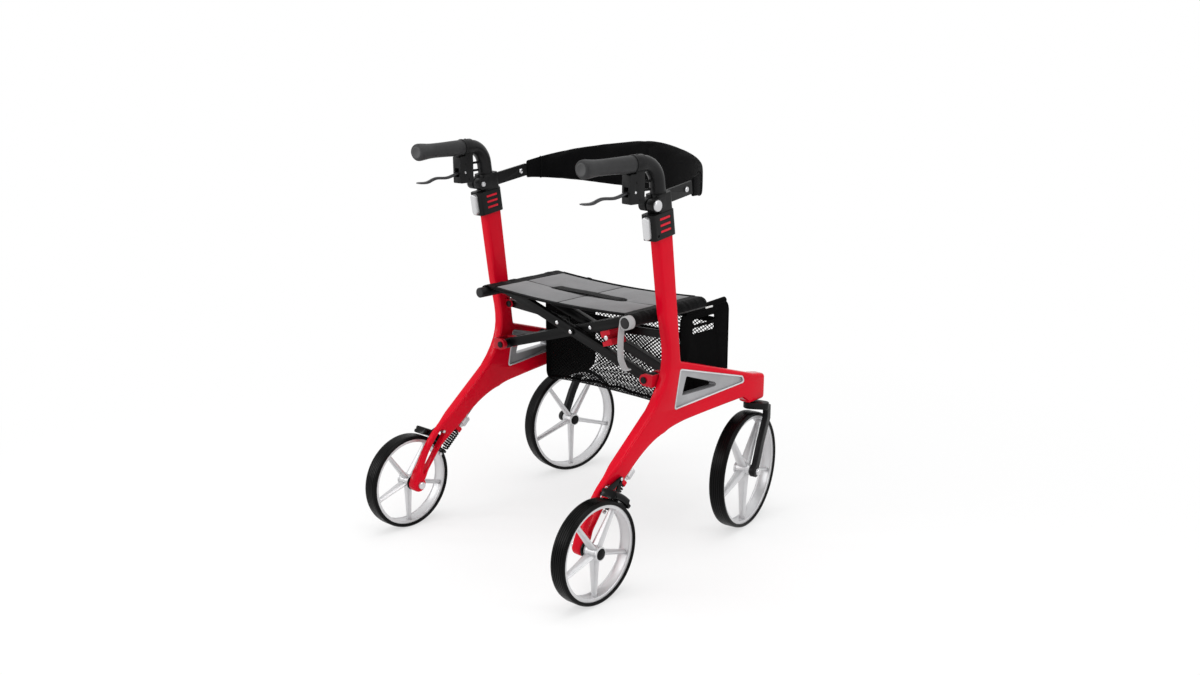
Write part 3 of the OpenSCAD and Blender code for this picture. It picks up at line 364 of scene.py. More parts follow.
def standUp(obj, x):
    # turns a plate upright, into the walker's side view
    obj.data.transform(Matrix(((0, 0, 1, x * mm), (1, 0, 0, 0), (0, 1, 0, 0), (0, 0, 0, 1))))
    return obj


def lathe(name, profile, place=None, turns=56):
    # spins a closed profile of (x, radius) points about the x axis
    edges = [(i, (i + 1) % len(profile)) for i in range(len(profile))]
    obj = newObject(name, [(x, 0, r) for x, r in profile], [], edges)
    editAll(obj)
    bpy.ops.mesh.spin(steps=turns, angle=2 * math.pi, center=(0, 0, 0), axis=(1, 0, 0))
    leave()
    smooth(closeUp(obj))
    if place:
        obj.data.transform(place)
    return obj


def domedHead(name, r, h, place):
    # a bolt head whose flat side is at the place's origin and whose dome points along its x
    profile = [(0, 0.01), (0, r * 0.96), (h * 0.12, r), (h * 0.45, r), (h * 0.72, r * 0.9),
               (h * 0.9, r * 0.68), (h * 0.98, r * 0.38), (h, 0.01)]
    return lathe(name, profile, place, 40)


def loft(name, rings):
    # a closed skin over rings with the same number of points
    n = len(rings[0])
    verts = [p for ring in rings for p in ring]
    faces = []
    for j in range(len(rings) - 1):
        for i in range(n):
            k = (i + 1) % n
            faces.append((j * n + i, j * n + k, (j + 1) * n + k, (j + 1) * n + i))
    faces.append(tuple(range(n - 1, -1, -1)))
    faces.append(tuple(range((len(rings) - 1) * n, len(rings) * n)))
    return closeUp(newObject(name, verts, faces))


def gridSkin(name, rows):
    count = len(rows[0])
    faces = []
    for j in range(len(rows) - 1):
        for i in range(count - 1):
            a = j * count + i
            faces.append((a, a + 1, a + count + 1, a + count))
    return newObject(name, [p for row in rows for p in row], faces)


def rod(name, r, length, place, bevel=0.6, corners=48):
    # a round bar from the place's origin along its z
    bpy.ops.object.select_all(action="DESELECT")
    bpy.ops.mesh.primitive_cylinder_add(vertices=corners, radius=r * mm, depth=length * mm,
                                        location=(0, 0, length * mm / 2))
    obj = bpy.context.active_object
    obj.name = name
    bpy.ops.object.transform_apply(location=True, rotation=True, scale=True)
    softEdges(obj, bevel, 3, 40)
    obj.data.transform(place)
    return obj


def block(name, size, place, bevel=1.0):
    # a box from the place's origin, centred in x and y
    bpy.ops.object.select_all(action="DESELECT")
    bpy.ops.mesh.primitive_cube_add(size=1, location=(0, 0, size[2] * mm / 2))
    obj = bpy.context.active_object
    obj.name = name
    obj.scale = Vector(size) * mm
    bpy.ops.object.transform_apply(location=True, rotation=True, scale=True)
    softEdges(obj, bevel, 3)
    obj.data.transform(place)
    return obj


# finishes, each with the slot that its pieces take
finishes, slots = {}, {}


def startFinish(name, colour, rough, metal=0.0, coat=0.0, sheen=0.0, shine=0.2):
    finish = bpy.data.materials.new(name)
    finish.use_nodes = True
    shader = finish.node_tree.nodes["Principled BSDF"]
    for socket, value in (("Base Color", (*colour, 1)), ("Roughness", rough), ("Metallic", metal),
                          ("Specular IOR Level", shine), ("Coat Weight", coat), ("Coat Roughness", 0.12),
                          ("Sheen Weight", sheen)):
        shader.inputs[socket].default_value = value
    return finish, finish.node_tree, shader


def node(tree, kind, **values):
    made = tree.nodes.new(kind)
    for key, value in values.items():
        setattr(made, key, value)
    return made


def objectSpace(tree):
    return node(tree, "ShaderNodeTexCoord").outputs["Object"]


def noise(tree, space, scale, detail=4.0, rough=0.55):
    made = node(tree, "ShaderNodeTexNoise")
    made.inputs["Scale"].default_value = scale
    made.inputs["Detail"].default_value = detail
    made.inputs["Roughness"].default_value = rough
    tree.links.new(space, made.inputs["Vector"])
    return made.outputs["Fac"]


def maths(tree, operation, a, b=None):
    made = node(tree, "ShaderNodeMath", operation=operation)
    for k, value in enumerate((a, b)):
        if isinstance(value, (int, float)):
            made.inputs[k].default_value = value
        elif value is not None:
            tree.links.new(value, made.inputs[k])
    return made.outputs["Value"]


def toneBetween(tree, shader, value, colour, spread, start=0.3, stop=0.7):
    # the base colour, a little darker and lighter by a slow value
    made = node(tree, "ShaderNodeValToRGB")
    for element, at, share in zip(made.color_ramp.elements, (start, stop), (1 - spread, 1 + spread)):
        element.position = at
        element.color = (*(min(1.0, c * share) for c in colour), 1)
    tree.links.new(value, made.inputs["Fac"])
    tree.links.new(made.outputs["Color"], shader.inputs["Base Color"])


def bump(tree, shader, height, strength, distance):
    made = node(tree, "ShaderNodeBump")
    made.inputs["Strength"].default_value = strength
    made.inputs["Distance"].default_value = distance * mm
    tree.links.new(height, made.inputs["Height"])
    tree.links.new(made.outputs["Normal"], shader.inputs["Normal"])


def grained(key, slot, name, colour, rough, metal=0.0, coat=0.0, scale=900.0, depth=0.08, spread=0.12,
            strength=0.35, wear=0.06, shine=0.2):
    # paint, plastic, rubber or metal with a fine grain and a slow change of tone
    finishes[key], tree, shader = startFinish(name, colour, rough, metal, coat, 0.0, shine)
    slots[key] = slot
    space = objectSpace(tree)
    slow = noise(tree, space, 14.0, 3.0)
    toneBetween(tree, shader, slow, colour, spread)
    fine = noise(tree, space, scale, 3.0, 0.6)
    span = maths(tree, "MULTIPLY", slow, wear)
    tree.links.new(maths(tree, "ADD", span, rough - wear / 2), shader.inputs["Roughness"])
    bump(tree, shader, fine, strength, depth)


def woven(key, slot, name, colour, rough, threads, depth, spread, sheen, strength=0.6):
    # cloth whose threads cross on every side of the piece
    finishes[key], tree, shader = startFinish(name, colour, rough, sheen=sheen, shine=0.03)
    slots[key] = slot
    shader.inputs["Sheen Roughness"].default_value = 0.45
    space = objectSpace(tree)
    split = node(tree, "ShaderNodeSeparateXYZ")
    tree.links.new(space, split.inputs["Vector"])
    waves = []
    for axis in "XYZ":
        turned = maths(tree, "MULTIPLY", split.outputs[axis], threads * 2 * math.pi)
        waves.append(maths(tree, "SINE", turned))
    crossed = [maths(tree, "MULTIPLY", waves[k], waves[(k + 1) % 3]) for k in range(3)]
    weave = maths(tree, "ADD", crossed[0], maths(tree, "ADD", crossed[1], crossed[2]))
    slow = noise(tree, space, 22.0, 4.0)
    mixed = maths(tree, "ADD", maths(tree, "MULTIPLY", weave, 0.12), slow)
    toneBetween(tree, shader, mixed, colour, spread, 0.25, 0.75)
    bump(tree, shader, weave, strength, depth)


grained("redPaint", "red_paint", "red gloss paint", (0.62, 0.0022, 0.016), 0.17, coat=0.04, scale=500,
        depth=0.025, spread=0.05, strength=0.2, wear=0.05, shine=0.06)
grained("silverTrim", "silver_trim", "satin silver trim", (0.36, 0.36, 0.37), 0.34, metal=0.5, scale=1400,
        depth=0.03)
# a brighter copy of the satin silver trim: a painted highlight for the windows' rims
grained("highlightTrim", "silver_trim", "painted highlight trim edge", (0.72, 0.72, 0.74), 0.26, metal=0.5, scale=1400,
        depth=0.02)
grained("blackPlastic", "black_plastic", "black moulded plastic", (0.007, 0.007, 0.0073), 0.4, scale=1600,
        depth=0.12, shine=0.14)
grained("glossBlack", "black_plastic", "glossy black plastic", (0.0014, 0.0014, 0.0015), 0.14, scale=700,
        depth=0.03, shine=0.12)
grained("blackTube", "black_tube", "black coated tube", (0.009, 0.009, 0.0095), 0.34, scale=1200,
        depth=0.06, shine=0.16)
grained("darkBar", "black_tube", "black painted bar", (0.0025, 0.0025, 0.0027), 0.3, scale=1000,
        depth=0.05, shine=0.14)
grained("gripRubber", "grip_rubber", "grey grip rubber", (0.03, 0.03, 0.031), 0.5, scale=1100, depth=0.14,
        spread=0.3, shine=0.16)
grained("gripEnd", "grip_rubber", "grip end plug", (0.055, 0.055, 0.056), 0.42, scale=1300)
grained("leverMetal", "lever_metal", "cast lever metal", (0.055, 0.055, 0.058), 0.36, metal=0.7, scale=600)
grained("steel", "bright_steel", "bright bolt steel", (0.6, 0.6, 0.61), 0.22, metal=0.95, depth=0.03)
grained("knobSilver", "bright_steel", "silver knob", (0.56, 0.56, 0.57), 0.32, metal=0.6, depth=0.05)
grained("rimSilver", "rim_silver", "silver rim", (0.62, 0.62, 0.63), 0.4, metal=0.6, scale=1000,
        depth=0.04, spread=0.05)
grained("tyreRubber", "tyre", "tyre rubber", (0.0016, 0.0016, 0.0017), 0.3, scale=1500, depth=0.1,
        spread=0.3, shine=0.1)
grained("redPlastic", "red_plastic", "red moulded plastic", (0.46, 0.003, 0.015), 0.3, depth=0.06, shine=0.16)
grained("slotRed", "red_plastic", "red insert", (0.62, 0.006, 0.024), 0.35, depth=0.04)
grained("springSteel", "spring_steel", "black spring wire", (0.0022, 0.0022, 0.0024), 0.34, depth=0.03,
        shine=0.16)
grained("capDark", "black_plastic", "dark end cap", (0.022, 0.022, 0.023), 0.45, scale=1300, depth=0.06,
        shine=0.14)
grained("whiteClip", "bag_mesh", "white plastic clip", (0.72, 0.72, 0.71), 0.4, depth=0.04)
woven("seatCloth", "seat_cloth", "grey seat cloth", (0.2, 0.2, 0.204), 0.55, 520, 0.12, 0.1, 0.12, 0.4)
woven("borderCloth", "seat_cloth", "black border cloth", (0.0035, 0.0035, 0.0037), 0.55, 480, 0.16, 0.3, 0.02)
woven("beltCloth", "belt_cloth", "black belt cloth", (0.0028, 0.0028, 0.003), 0.65, 420, 0.18, 0.3, 0.02)
woven("beltEdge", "belt_cloth", "black binding", (0.005, 0.005, 0.0052), 0.55, 700, 0.15, 0.25, 0.03)
woven("bagCloth", "bag_cloth", "black bag cloth", (0.0012, 0.0012, 0.0013), 0.7, 430, 0.16, 0.3, 0.0)
woven("netCord", "bag_mesh", "black net cord", (0.003, 0.003, 0.0032), 0.6, 900, 0.08, 0.35, 0.0)
woven("strapWebbing", "strap_webbing", "grey strap webbing", (0.42, 0.42, 0.425), 0.62, 640, 0.25, 0.14, 0.06)
print("finishes made:", len(finishes))

# camera, floor and light, in metres
photo = {"place": (1.6996, -1.7966, 1.0489), "back": (0.65466, -0.71453, 0.24673), "lens": 36.31,
         "sensor": 36, "clipEnd": 60}
camera = addObject("photo camera", bpy.data.cameras.new("photo camera"))
camera.data.lens = photo["lens"]
camera.data.sensor_width = photo["sensor"]
camera.data.clip_end = photo["clipEnd"]
back = Vector(photo["back"]).normalized()
across = Vector((0, 0, 1)).cross(back).normalized()
upward = back.cross(across)
camera.matrix_world = Matrix((*zip(across, upward, back, photo["place"]), (0, 0, 0, 1)))
bpy.context.scene.camera = camera
bpy.context.scene.view_settings.view_transform = "Standard"

studio = {"floor": 24.0, "floorTone": 0.9, "floorRough": 0.9, "floorGlow": 0.6, "fadeFrom": 0.45,
          "fadeTo": 1.7, "worldLight": 0.7}


def plainWhite(tree, kind):
    white = node(tree, kind)
    white.inputs["Color"].default_value = (1, 1, 1, 1)
    white.inputs["Strength"].default_value = 1.0
    return white.outputs[0]


def seenWays(tree):
    # 1 where the camera looks, also in a mirror or through glass
    path = node(tree, "ShaderNodeLightPath").outputs
    return maths(tree, "MAXIMUM", path["Is Camera Ray"],
                 maths(tree, "MAXIMUM", path["Is Glossy Ray"], path["Is Transmission Ray"]))


def mixOut(tree, share, first, second, output):
    mix = node(tree, "ShaderNodeMixShader")
    for k, socket in enumerate((share, first, second)):
        tree.links.new(socket, mix.inputs[k])
    tree.links.new(mix.outputs["Shader"], tree.nodes[output].inputs["Surface"])


bpy.ops.object.select_all(action="DESELECT")
bpy.ops.mesh.primitive_circle_add(vertices=96, radius=studio["floor"], fill_type="NGON")
floor = bpy.context.active_object
floor.name = "studio_floor"
floorFinish, floorTree, floorShader = startFinish("pale studio floor", (studio["floorTone"],) * 3,
                                                  studio["floorRough"])
# the floor shades to plain white away from the walker
reach = node(floorTree, "ShaderNodeVectorMath", operation="LENGTH")
floorTree.links.new(objectSpace(floorTree), reach.inputs[0])
fade = node(floorTree, "ShaderNodeMapRange", interpolation_type="SMOOTHSTEP")
floorTree.links.new(reach.outputs["Value"], fade.inputs["Value"])
for socket, value in (("From Min", studio["fadeFrom"]), ("From Max", studio["fadeTo"]),
                      ("To Min", studio["floorGlow"]), ("To Max", 1.0)):
    fade.inputs[socket].default_value = value
share = maths(floorTree, "MULTIPLY", seenWays(floorTree), fade.outputs["Result"])
mixOut(floorTree, share, floorShader.outputs["BSDF"], plainWhite(floorTree, "ShaderNodeEmission"),
       "Material Output")
floor.data.materials.append(floorFinish)

world = bpy.data.worlds.new("studio")
bpy.context.scene.world = world
world.use_nodes = True
sky = world.node_tree
plain = sky.nodes["Background"]
plain.inputs["Color"].default_value = (1, 1, 1, 1)
plain.inputs["Strength"].default_value = studio["worldLight"]
mixOut(sky, seenWays(sky), plain.outputs["Background"], plainWhite(sky, "ShaderNodeBackground"),
       "World Output")

# each lamp's place, aim, size and watts
lamps = {
    "top softbox": ((0.2, -0.4, 3.2), (0, 0, 0.4), (2.4, 2.4), 40),
    "left softbox": ((-1.6, -3.0, 1.9), (0, 0, 0.45), (1.4, 1.4), 22),
    "right softbox": ((3.2, 0.6, 1.8), (0, 0.1, 0.45), (1.4, 1.4), 22),
    "left strip": ((-2.6, -2.0, 1.5), (0, 0, 0.45), (0.3, 2.2), 16),
}
for name, (place, aim, size, watts) in lamps.items():
    lamp = addObject(name, bpy.data.lights.new(name, "AREA"))
    lamp.data.shape = "RECTANGLE"
    lamp.data.size, lamp.data.size_y = size
    lamp.data.energy = watts
    lamp.location = place
    lamp.rotation_euler = (Vector(aim) - Vector(place)).to_track_quat("-Z", "Y").to_euler()
print("camera, floor and light set")


# side frames: a bent plate with rounded edges, a window and a slit leg
# outline points are shares of the leg's and the front arm's run and rise
framePlate = {
    "edge": 6.0, "noseFillet": 9.0, "heelFillet": 5.0, "windowFillet": 6.0, "boss": 16.0, "bend": 0.02,
    "knee": (0.782, 0.727), "kneePulls": ((0.975, 1.10), (1.05, 0.955)),
    "shin": (0.224, 0.3624), "shinPulls": ((0.122, 0.297), (0.004, 0.157)),
    "ankle": (0.256, 0.226), "calf": (0.42, 0.32), "calfPulls": ((0.60, 0.45), (0.78, 0.535)),
    "hollow": (0.932, 0.552), "hollowPull": (1.01, 0.58), "armPull": (0.11, 0.055), "armTip": (0.83, 0.13),
    "brow": (0.95, 0.48), "shoulder": (0.27, 0.905), "crook": 0.67,
    "window": ((0.096, 0.90), (0.805, 0.51), (0.84, 0.385), (0.03, 0.27)),
    "slit": ((0.262, 0.36), (0.325, 0.335), (0.062, 0.075), (0.036, 0.075)),
    "slitLow": 3.2, "slitHigh": 5.0, "cutter": 60.0, "lastEdge": 1.6,
    "lug": (0.485, 0.32), "hook": (0.292, 0.185), "brakePin": (0.388, 0.366),
    "lugR": 8.0, "lugLen": 10.0, "webSize": (15, 18, 9), "webAt": (0, -9, -9.5),
}
# the slit's rear and front edges at places along it, in mm
slitEdges = ((-54, -4.4, 3.0), (-30, -9.0, 5.4), (-10, -12.0, 6.8), (10, -12.4, 7.6), (30, -11.0, 9.4),
             (50, -8.2, 9.4))
# the two prongs thin by a share, between two places along the slit
prongs = {"thin": 0.42, "from": -60.0, "fadeIn": 22.0, "to": 92.0, "fadeOut": 40.0, "cuts": range(-62, 96, 6)}


def legAt(p):
    return Vector((rearY + p[0] * legRun, w["rearR"] + p[1] * legRise))


def armAt(p):
    return Vector((w["postY"] + p[0] * armRun, w["headZ"] + p[1] * armRise))


def postEdge(s, d):
    return Vector((w["postY"] - s * math.sin(lean) + d * math.cos(lean),
                   w["postZ"] + s * math.cos(lean) + d * math.sin(lean)))


def planMid(y):
    return between(y, ((rearY, w["frameX"] + 0.05 * w["frameT"]), (postRear, w["frameX"]),
                       (postFront, w["frameX"]), (headRear, w["headX"])))


def planHalf(y):
    return between(y, ((postFront, w["frameT"] / 2), (headRear, w["headT"] / 2)))


def frameOutline():
    f = framePlate
    nose, heel = headY + w["headLen"] / 2, headRear
    half, top, base = w["postDepth"] / 2, w["headZ"] + w["headH"], w["headZ"]
    front, rear = postEdge(w["postLen"], half), postEdge(w["postLen"], -half)
    knee, shin, calf, hollow = (legAt(f[k]) for k in ("knee", "shin", "calf", "hollow"))
    tip, brow, shoulder = (armAt(f[k]) for k in ("armTip", "brow", "shoulder"))
    points = [front, rear]
    points += bez(postEdge(f["bend"] * w["postLen"], -half), *map(legAt, f["kneePulls"]), knee)
    points += bez(knee, (2 * knee + shin) / 3, (knee + 2 * shin) / 3, shin)
    points += bez(shin, *map(legAt, f["shinPulls"]), (rearY - f["boss"], w["rearR"]))
    points += arc((rearY, w["rearR"]), f["boss"], 180, 390, 18)
    points.append(legAt(f["ankle"]))
    points += bez(calf, *map(legAt, f["calfPulls"]), hollow)
    points += bez(hollow, legAt(f["hollowPull"]), armAt(f["armPull"]), tip)
    points.append(tip)
    points += roundCorner((heel, tip.y), (heel, base), (nose, base), f["heelFillet"])
    points += roundCorner((heel, base), (nose, base), (nose, top), f["noseFillet"])
    points += roundCorner((nose, base), (nose, top), brow, f["noseFillet"])
    points += [brow, shoulder]
    crook = (w["postY"] + f["crook"] * w["postDepth"], w["elbowZ"])
    return points + roundCorner(shoulder, crook, front, f["noseFillet"])


windowPoints = [armAt(p) for p in framePlate["window"]]
slitPoints = [legAt(p) for p in framePlate["slit"]]
lug, hook, brakePin = (legAt(framePlate[k]) for k in ("lug", "hook", "brakePin"))
cableLine = (lug - hook).normalized()
onCable = (move(planMid(lug.x), lug.x, lug.y)
           @ turnBy(math.degrees(math.atan2(cableLine.y, cableLine.x)) - 90, "X"))
slitMid = (slitPoints[0] + slitPoints[1] + slitPoints[2] + slitPoints[3]) / 4
slitWay = (slitPoints[0] + slitPoints[1] - slitPoints[2] - slitPoints[3]).normalized()
slitAcross = Vector((slitWay.y, -slitWay.x))


def slitOutline():
    front = easePath([slitMid + slitWay * k + slitAcross * f for k, r, f in slitEdges], 5)
    rear = easePath([slitMid + slitWay * k + slitAcross * r for k, r, f in slitEdges], 5)[::-1]
    low, high = framePlate["slitLow"], framePlate["slitHigh"]
    return (front[1:-1] + roundCorner(front[-2], front[-1], rear[0], high)
            + roundCorner(front[-1], rear[0], rear[1], high) + rear[1:-1]
            + roundCorner(rear[-2], rear[-1], front[0], low) + roundCorner(rear[-1], front[0], front[1], low))


def bendPlate(obj):
    # cuts the flat plate where it bends or thins, then sets it out along the frame's plan
    editAll(obj)
    planes = [((y * mm, 0, 0), (1, 0, 0)) for y in (postRear, postFront, headRear)]
    for k in prongs["cuts"]:
        planes.append((((slitMid + slitWay * k) * mm).to_3d(), slitWay.to_3d()))
    for at, across in planes:
        bpy.ops.mesh.select_all(action="SELECT")
        bpy.ops.mesh.bisect(plane_co=at, plane_no=across)
    leave()
    for vertex in obj.data.vertices:
        a, b, c = vertex.co
        y = a / mm
        along = (Vector((y, b / mm)) - slitMid).dot(slitWay)
        thin = 1 - (prongs["thin"] * ease((along - prongs["from"]) / prongs["fadeIn"])
                    * ease((prongs["to"] - along) / prongs["fadeOut"]))
        vertex.co = (planMid(y) * mm + c * thin * planHalf(y) / (w["frameT"] / 2), a, b)
    return obj


side = plate("frame_plate_r", frameOutline(), w["frameT"], framePlate["edge"])
cut(side, plate("window cutter", rounded(windowPoints, framePlate["windowFillet"]), framePlate["cutter"]))
cut(side, plate("slit cutter", slitOutline(), framePlate["cutter"]))
softEdges(bendPlate(side), framePlate["lastEdge"], 3, 40)
lugPlace = onCable @ move(0, 0, -framePlate["lugLen"])
lugRing = rod("lug ring", framePlate["lugR"], framePlate["lugLen"], lugPlace, 1.5)
lugWeb = block("lug web", framePlate["webSize"], onCable @ move(*framePlate["webAt"]), 1.5)
join(side, lugRing, lugWeb)
for tag, sign in sides:
    piece = side if sign > 0 else mirrorCopy(side, "frame_plate_l")
    dress(piece, "frame_" + tag, "redPaint", "side_frame_" + tag)
print("side frames bent")

# a steel cross pin in each leg's slit, and a painted highlight along the rim of each window: a thin tube in a
# brighter copy of the satin silver
slitPin = {"y": -187.0, "z": 204.0, "r": 3.2, "len": 20.0}
bezel = {"inset": 2.0, "rim": 1.5, "fillet": 4.2, "sunk": 0.5}
pinPlace = alongX(move(planMid(slitPin["y"]) - slitPin["len"] / 2, slitPin["y"], slitPin["z"]))
bothSides(rod("slit_pin", slitPin["r"], slitPin["len"], pinPlace, 0.5), "slit_pin", "frame", "steel")
for tag, sign in sides:
    plainCopy("window_bezel_" + tag, "frame_" + tag, "silverTrim", 0.7)
# thin tubes along each window's rim, in the brighter silver that paints the rim's highlight
rimPoints = rounded(insetPoints(windowPoints, bezel["inset"]), bezel["fillet"], 7)
highlightRims = [tube("window_rim_highlight", [(planMid(p.x) + out * (planHalf(p.x) - bezel["sunk"]), p.x, p.y) for p in rimPoints],
             bezel["rim"], True) for out in (1, -1)]
bothSides(join(*highlightRims), "window_rim_highlight", "frame", "highlightTrim")

# height lock: housing with three red inserts and a sunk screw, and the push button
lock = {"t": 33.0, "notchW": 30.0, "notchH": 5.0, "pitch": 12.0, "notchLow": 168.0, "notchMid": -4.0,
        "screw": (-27.0, 164.5), "screwR": 2.5, "holeR": 2.7, "holeLen": 6.0, "insertT": 3.2,
        "insertX": (13.0, -16.2), "gap": 0.2}
for tag, sign in sides:
    housing = copyNode("lock_housing_" + tag, "lock_housing_" + tag + "_body")
    hole = rod("screw hole", lock["holeR"], lock["holeLen"],
               alongX(onPost @ move((lock["t"] - lock["holeLen"]) / 2, *lock["screw"])), 0.3)
    cut(housing, hole if sign > 0 else flipOver(hole))
    softEdges(housing, 1.3, 4)
    dress(housing, "frame_" + tag, "blackPlastic", "lock_housing_" + tag)
    plainCopy("height_button_" + tag, "button_" + tag, "rimSilver", 2.6, 5)
inserts = []
insertSize = (lock["insertT"], lock["notchW"] - 2 * lock["gap"], lock["notchH"] - 2 * lock["gap"])
for i in range(3):
    for x in lock["insertX"]:
        place = onPost @ move(x, lock["notchMid"], lock["notchLow"] + i * lock["pitch"] + lock["gap"])
        inserts.append(block("insert", insertSize, place @ move(lock["insertT"] / 2, 0, 0), 0.4))
bothSides(join(*inserts), "lock_inserts", "frame", "slotRed")
lockScrew = domedHead("lock_screw", lock["screwR"], 1.4, onPost @ move(lock["t"] / 2 - 2.8, *lock["screw"]))
bothSides(lockScrew, "lock_screw", "frame", "springSteel", slot="black_plastic")
print("height locks made")

# handles: stem, bent tube, grip, brake housing and lever
handle = {"tubeR": 15.4, "tubeLow": 206.8, "tubeMid": 225.0, "stemW": 19.0, "stemD": 30.0, "stemFillet": 6.0,
          "stemLow": 10.0, "stemHigh": 207.0, "tubeEnds": (8, 26)}
stemX, stemY = handle["stemW"] / 2, handle["stemD"] / 2
stemCorners = [Vector(c) for c in ((-stemX, -stemY), (stemX, -stemY), (stemX, stemY), (-stemX, stemY))]
stemRing = [p.to_3d() for p in rounded(stemCorners, handle["stemFillet"], 6)]
stem = smooth(loft("handle_stem", [inPlace(onPost @ move(0, 0, z), stemRing)
                                   for z in (handle["stemLow"], handle["stemHigh"])]))
line = inPlace(onPost, [(0, 0, z) for z in (handle["tubeLow"], handle["tubeMid"], elbowS - 6)])
for q in steps(0, elbowTurn, 18):
    line += inPlace(onHandle, [(0, w["elbowR"] * (math.cos(q) - 1), elbowS + w["elbowR"] * math.sin(q))])
line += inPlace(onGrip, [(0, 0, z) for z in handle["tubeEnds"]])
bent = tube("handle_tube", line, handle["tubeR"], False, 9)
bothSides(join(stem, bent), "handle_tube", "handle", "blackTube", "handle_stem")

# the grip's radius at shares of its length, then the plug's share of its end radius at places along the grip
grip = {
    "start": 24.1, "len": 128.0, "heelFrom": 0.62, "heelWide": 0.07, "heelFlat": 0.05, "waist": 0.02,
    "radii": ((0.0, 15.6), (0.012, 16.4), (0.08, 16.5), (0.2, 16.3), (0.34, 15.8), (0.48, 15.4), (0.6, 15.2),
              (0.7, 15.4), (0.78, 16.1), (0.85, 17.1), (0.91, 17.8), (0.95, 18.0), (0.975, 17.5), (0.99, 16.4),
              (0.998, 14.6), (1.0, 12.0)),
    "plugR": (17.2, 16.4), "plugDrop": 0.4,
    "plug": ((150.4, 0.74), (152.3, 0.74), (152.7, 0.7), (152.9, 0.62), (152.5, 0.56), (152.4, 0.02)),
    "collar": ((22.4, 15.5), (22.4, 17.5), (23.2, 18.1), (25.2, 18.1), (26.0, 17.3), (26.0, 15.5)),
}
gripRings = []
for share, r in grip["radii"]:
    heel = max(0.0, (share - grip["heelFrom"]) / (1 - grip["heelFrom"]))
    ring = []
    for a in circle(40):
        # the heel end draws out sideways to a blunt point and flattens on top
        wide = r * (1 + grip["heelWide"] * heel * abs(math.cos(a)) ** 3)
        tall = r * (1 - grip["heelFlat"] * heel * max(0.0, math.sin(a))
                    - grip["waist"] * math.sin(math.pi * share))
        ring.append((wide * math.cos(a), tall * math.sin(a), grip["start"] + share * grip["len"]))
    gripRings.append(inPlace(onGrip, ring))
bothSides(smooth(loft("grip", gripRings), 40), "grip", "handle", "gripRubber", "grip")
plugRings = []
for z, share in grip["plug"]:
    plugRings.append(inPlace(onGrip, [(grip["plugR"][0] * share * math.cos(a),
                                       grip["plugR"][1] * share * math.sin(a) - grip["plugDrop"], z)
                                      for a in circle(40)]))
bothSides(smooth(loft("grip_end", plugRings), 40), "grip_end", "handle", "gripEnd")
gripCollar = lathe("grip_collar", grip["collar"], onGrip @ turnBy(-90, "Y"))
bothSides(gripCollar, "grip_collar", "handle", "blackPlastic")

# brake housing screws as (y, z, radius), the lever's pin and its side line as (along the grip, below it)
brakeGrip = {
    "half": 10.8, "screws": ((-33.0, 22.0, 2.6), (-66.0, 14.0, 1.9)), "topScrew": (0, 17.2, 13), "topScrewR": 2.2,
    "headH": 1.2, "pinY": -51.0, "pinZ": 26.0, "pinR": 2.5, "pinLen": 24.0, "eyeR": 6.4, "eyeLen": 9.8,
}
lever = {
    "line": ((26, -51), (38.6, -52.2), (68.8, -58.4), (101.6, -57), (126.8, -63), (152, -61.8)),
    "half": 4.9, "flare": 1.9, "flareFrom": 0.74, "waist": 0.9, "deep": 2.9, "taper": 0.9, "taperFrom": 0.7,
    "tipFrom": 0.97, "tipHalf": 0.72, "tipDeep": 0.7, "squareX": 0.62, "squareZ": 0.72,
}
for tag, sign in sides:
    plainCopy("brake_housing_" + tag, "handle_" + tag, "blackPlastic", 1.1)
screws = []
for y, z, r in brakeGrip["screws"]:
    for turned in (0, 180):
        place = onGrip @ move(0, y, z) @ turnBy(turned, "Z") @ move(brakeGrip["half"], 0, 0)
        screws.append(domedHead("housing screw", r, brakeGrip["headH"], place))
screws.append(domedHead("top screw", brakeGrip["topScrewR"], brakeGrip["headH"],
                        onGrip @ move(*brakeGrip["topScrew"]) @ turnBy(90, "Z")))
bothSides(join(*screws), "housing_screws", "handle", "springSteel", slot="black_plastic")


def throughGrip(name, r, length, bevel):
    return rod(name, r, length, alongX(onGrip @ move(-length / 2, brakeGrip["pinY"], brakeGrip["pinZ"])), bevel)


pin = throughGrip("lever_pin", brakeGrip["pinR"], brakeGrip["pinLen"], 0.6)
bothSides(pin, "lever_pin", "handle", "steel", "lever_pin")
leverLine = easePath(lever["line"], 8)
leverRings = []
for i, p in enumerate(leverLine):
    ahead = (leverLine[min(i + 1, len(leverLine) - 1)] - leverLine[max(i - 1, 0)]).normalized()
    normal = Vector((-ahead.y, ahead.x))
    share = i / (len(leverLine) - 1)
    half = lever["half"] - lever["waist"] * math.sin(math.pi * share)
    if share > lever["flareFrom"]:
        half = lever["half"] + lever["flare"] * (share - lever["flareFrom"]) / (1 - lever["flareFrom"])
    deep = lever["deep"] - lever["taper"] * max(0, (share - lever["taperFrom"]) / (1 - lever["taperFrom"]))
    if share > lever["tipFrom"]:
        half, deep = half * lever["tipHalf"], deep * lever["tipDeep"]
    ring = []
    for a in circle(20):
        at = p + normal * power(math.sin(a), lever["squareZ"]) * deep
        ring.append((power(math.cos(a), lever["squareX"]) * half, at.y, at.x))
    leverRings.append(inPlace(onGrip, ring))
leverBar = smooth(loft("brake_lever", leverRings), 50)
leverEye = throughGrip("lever eye", brakeGrip["eyeR"], brakeGrip["eyeLen"], 1.0)
bothSides(join(leverBar, leverEye), "brake_lever", "lever", "leverMetal", "brake_lever")
print("handles made")

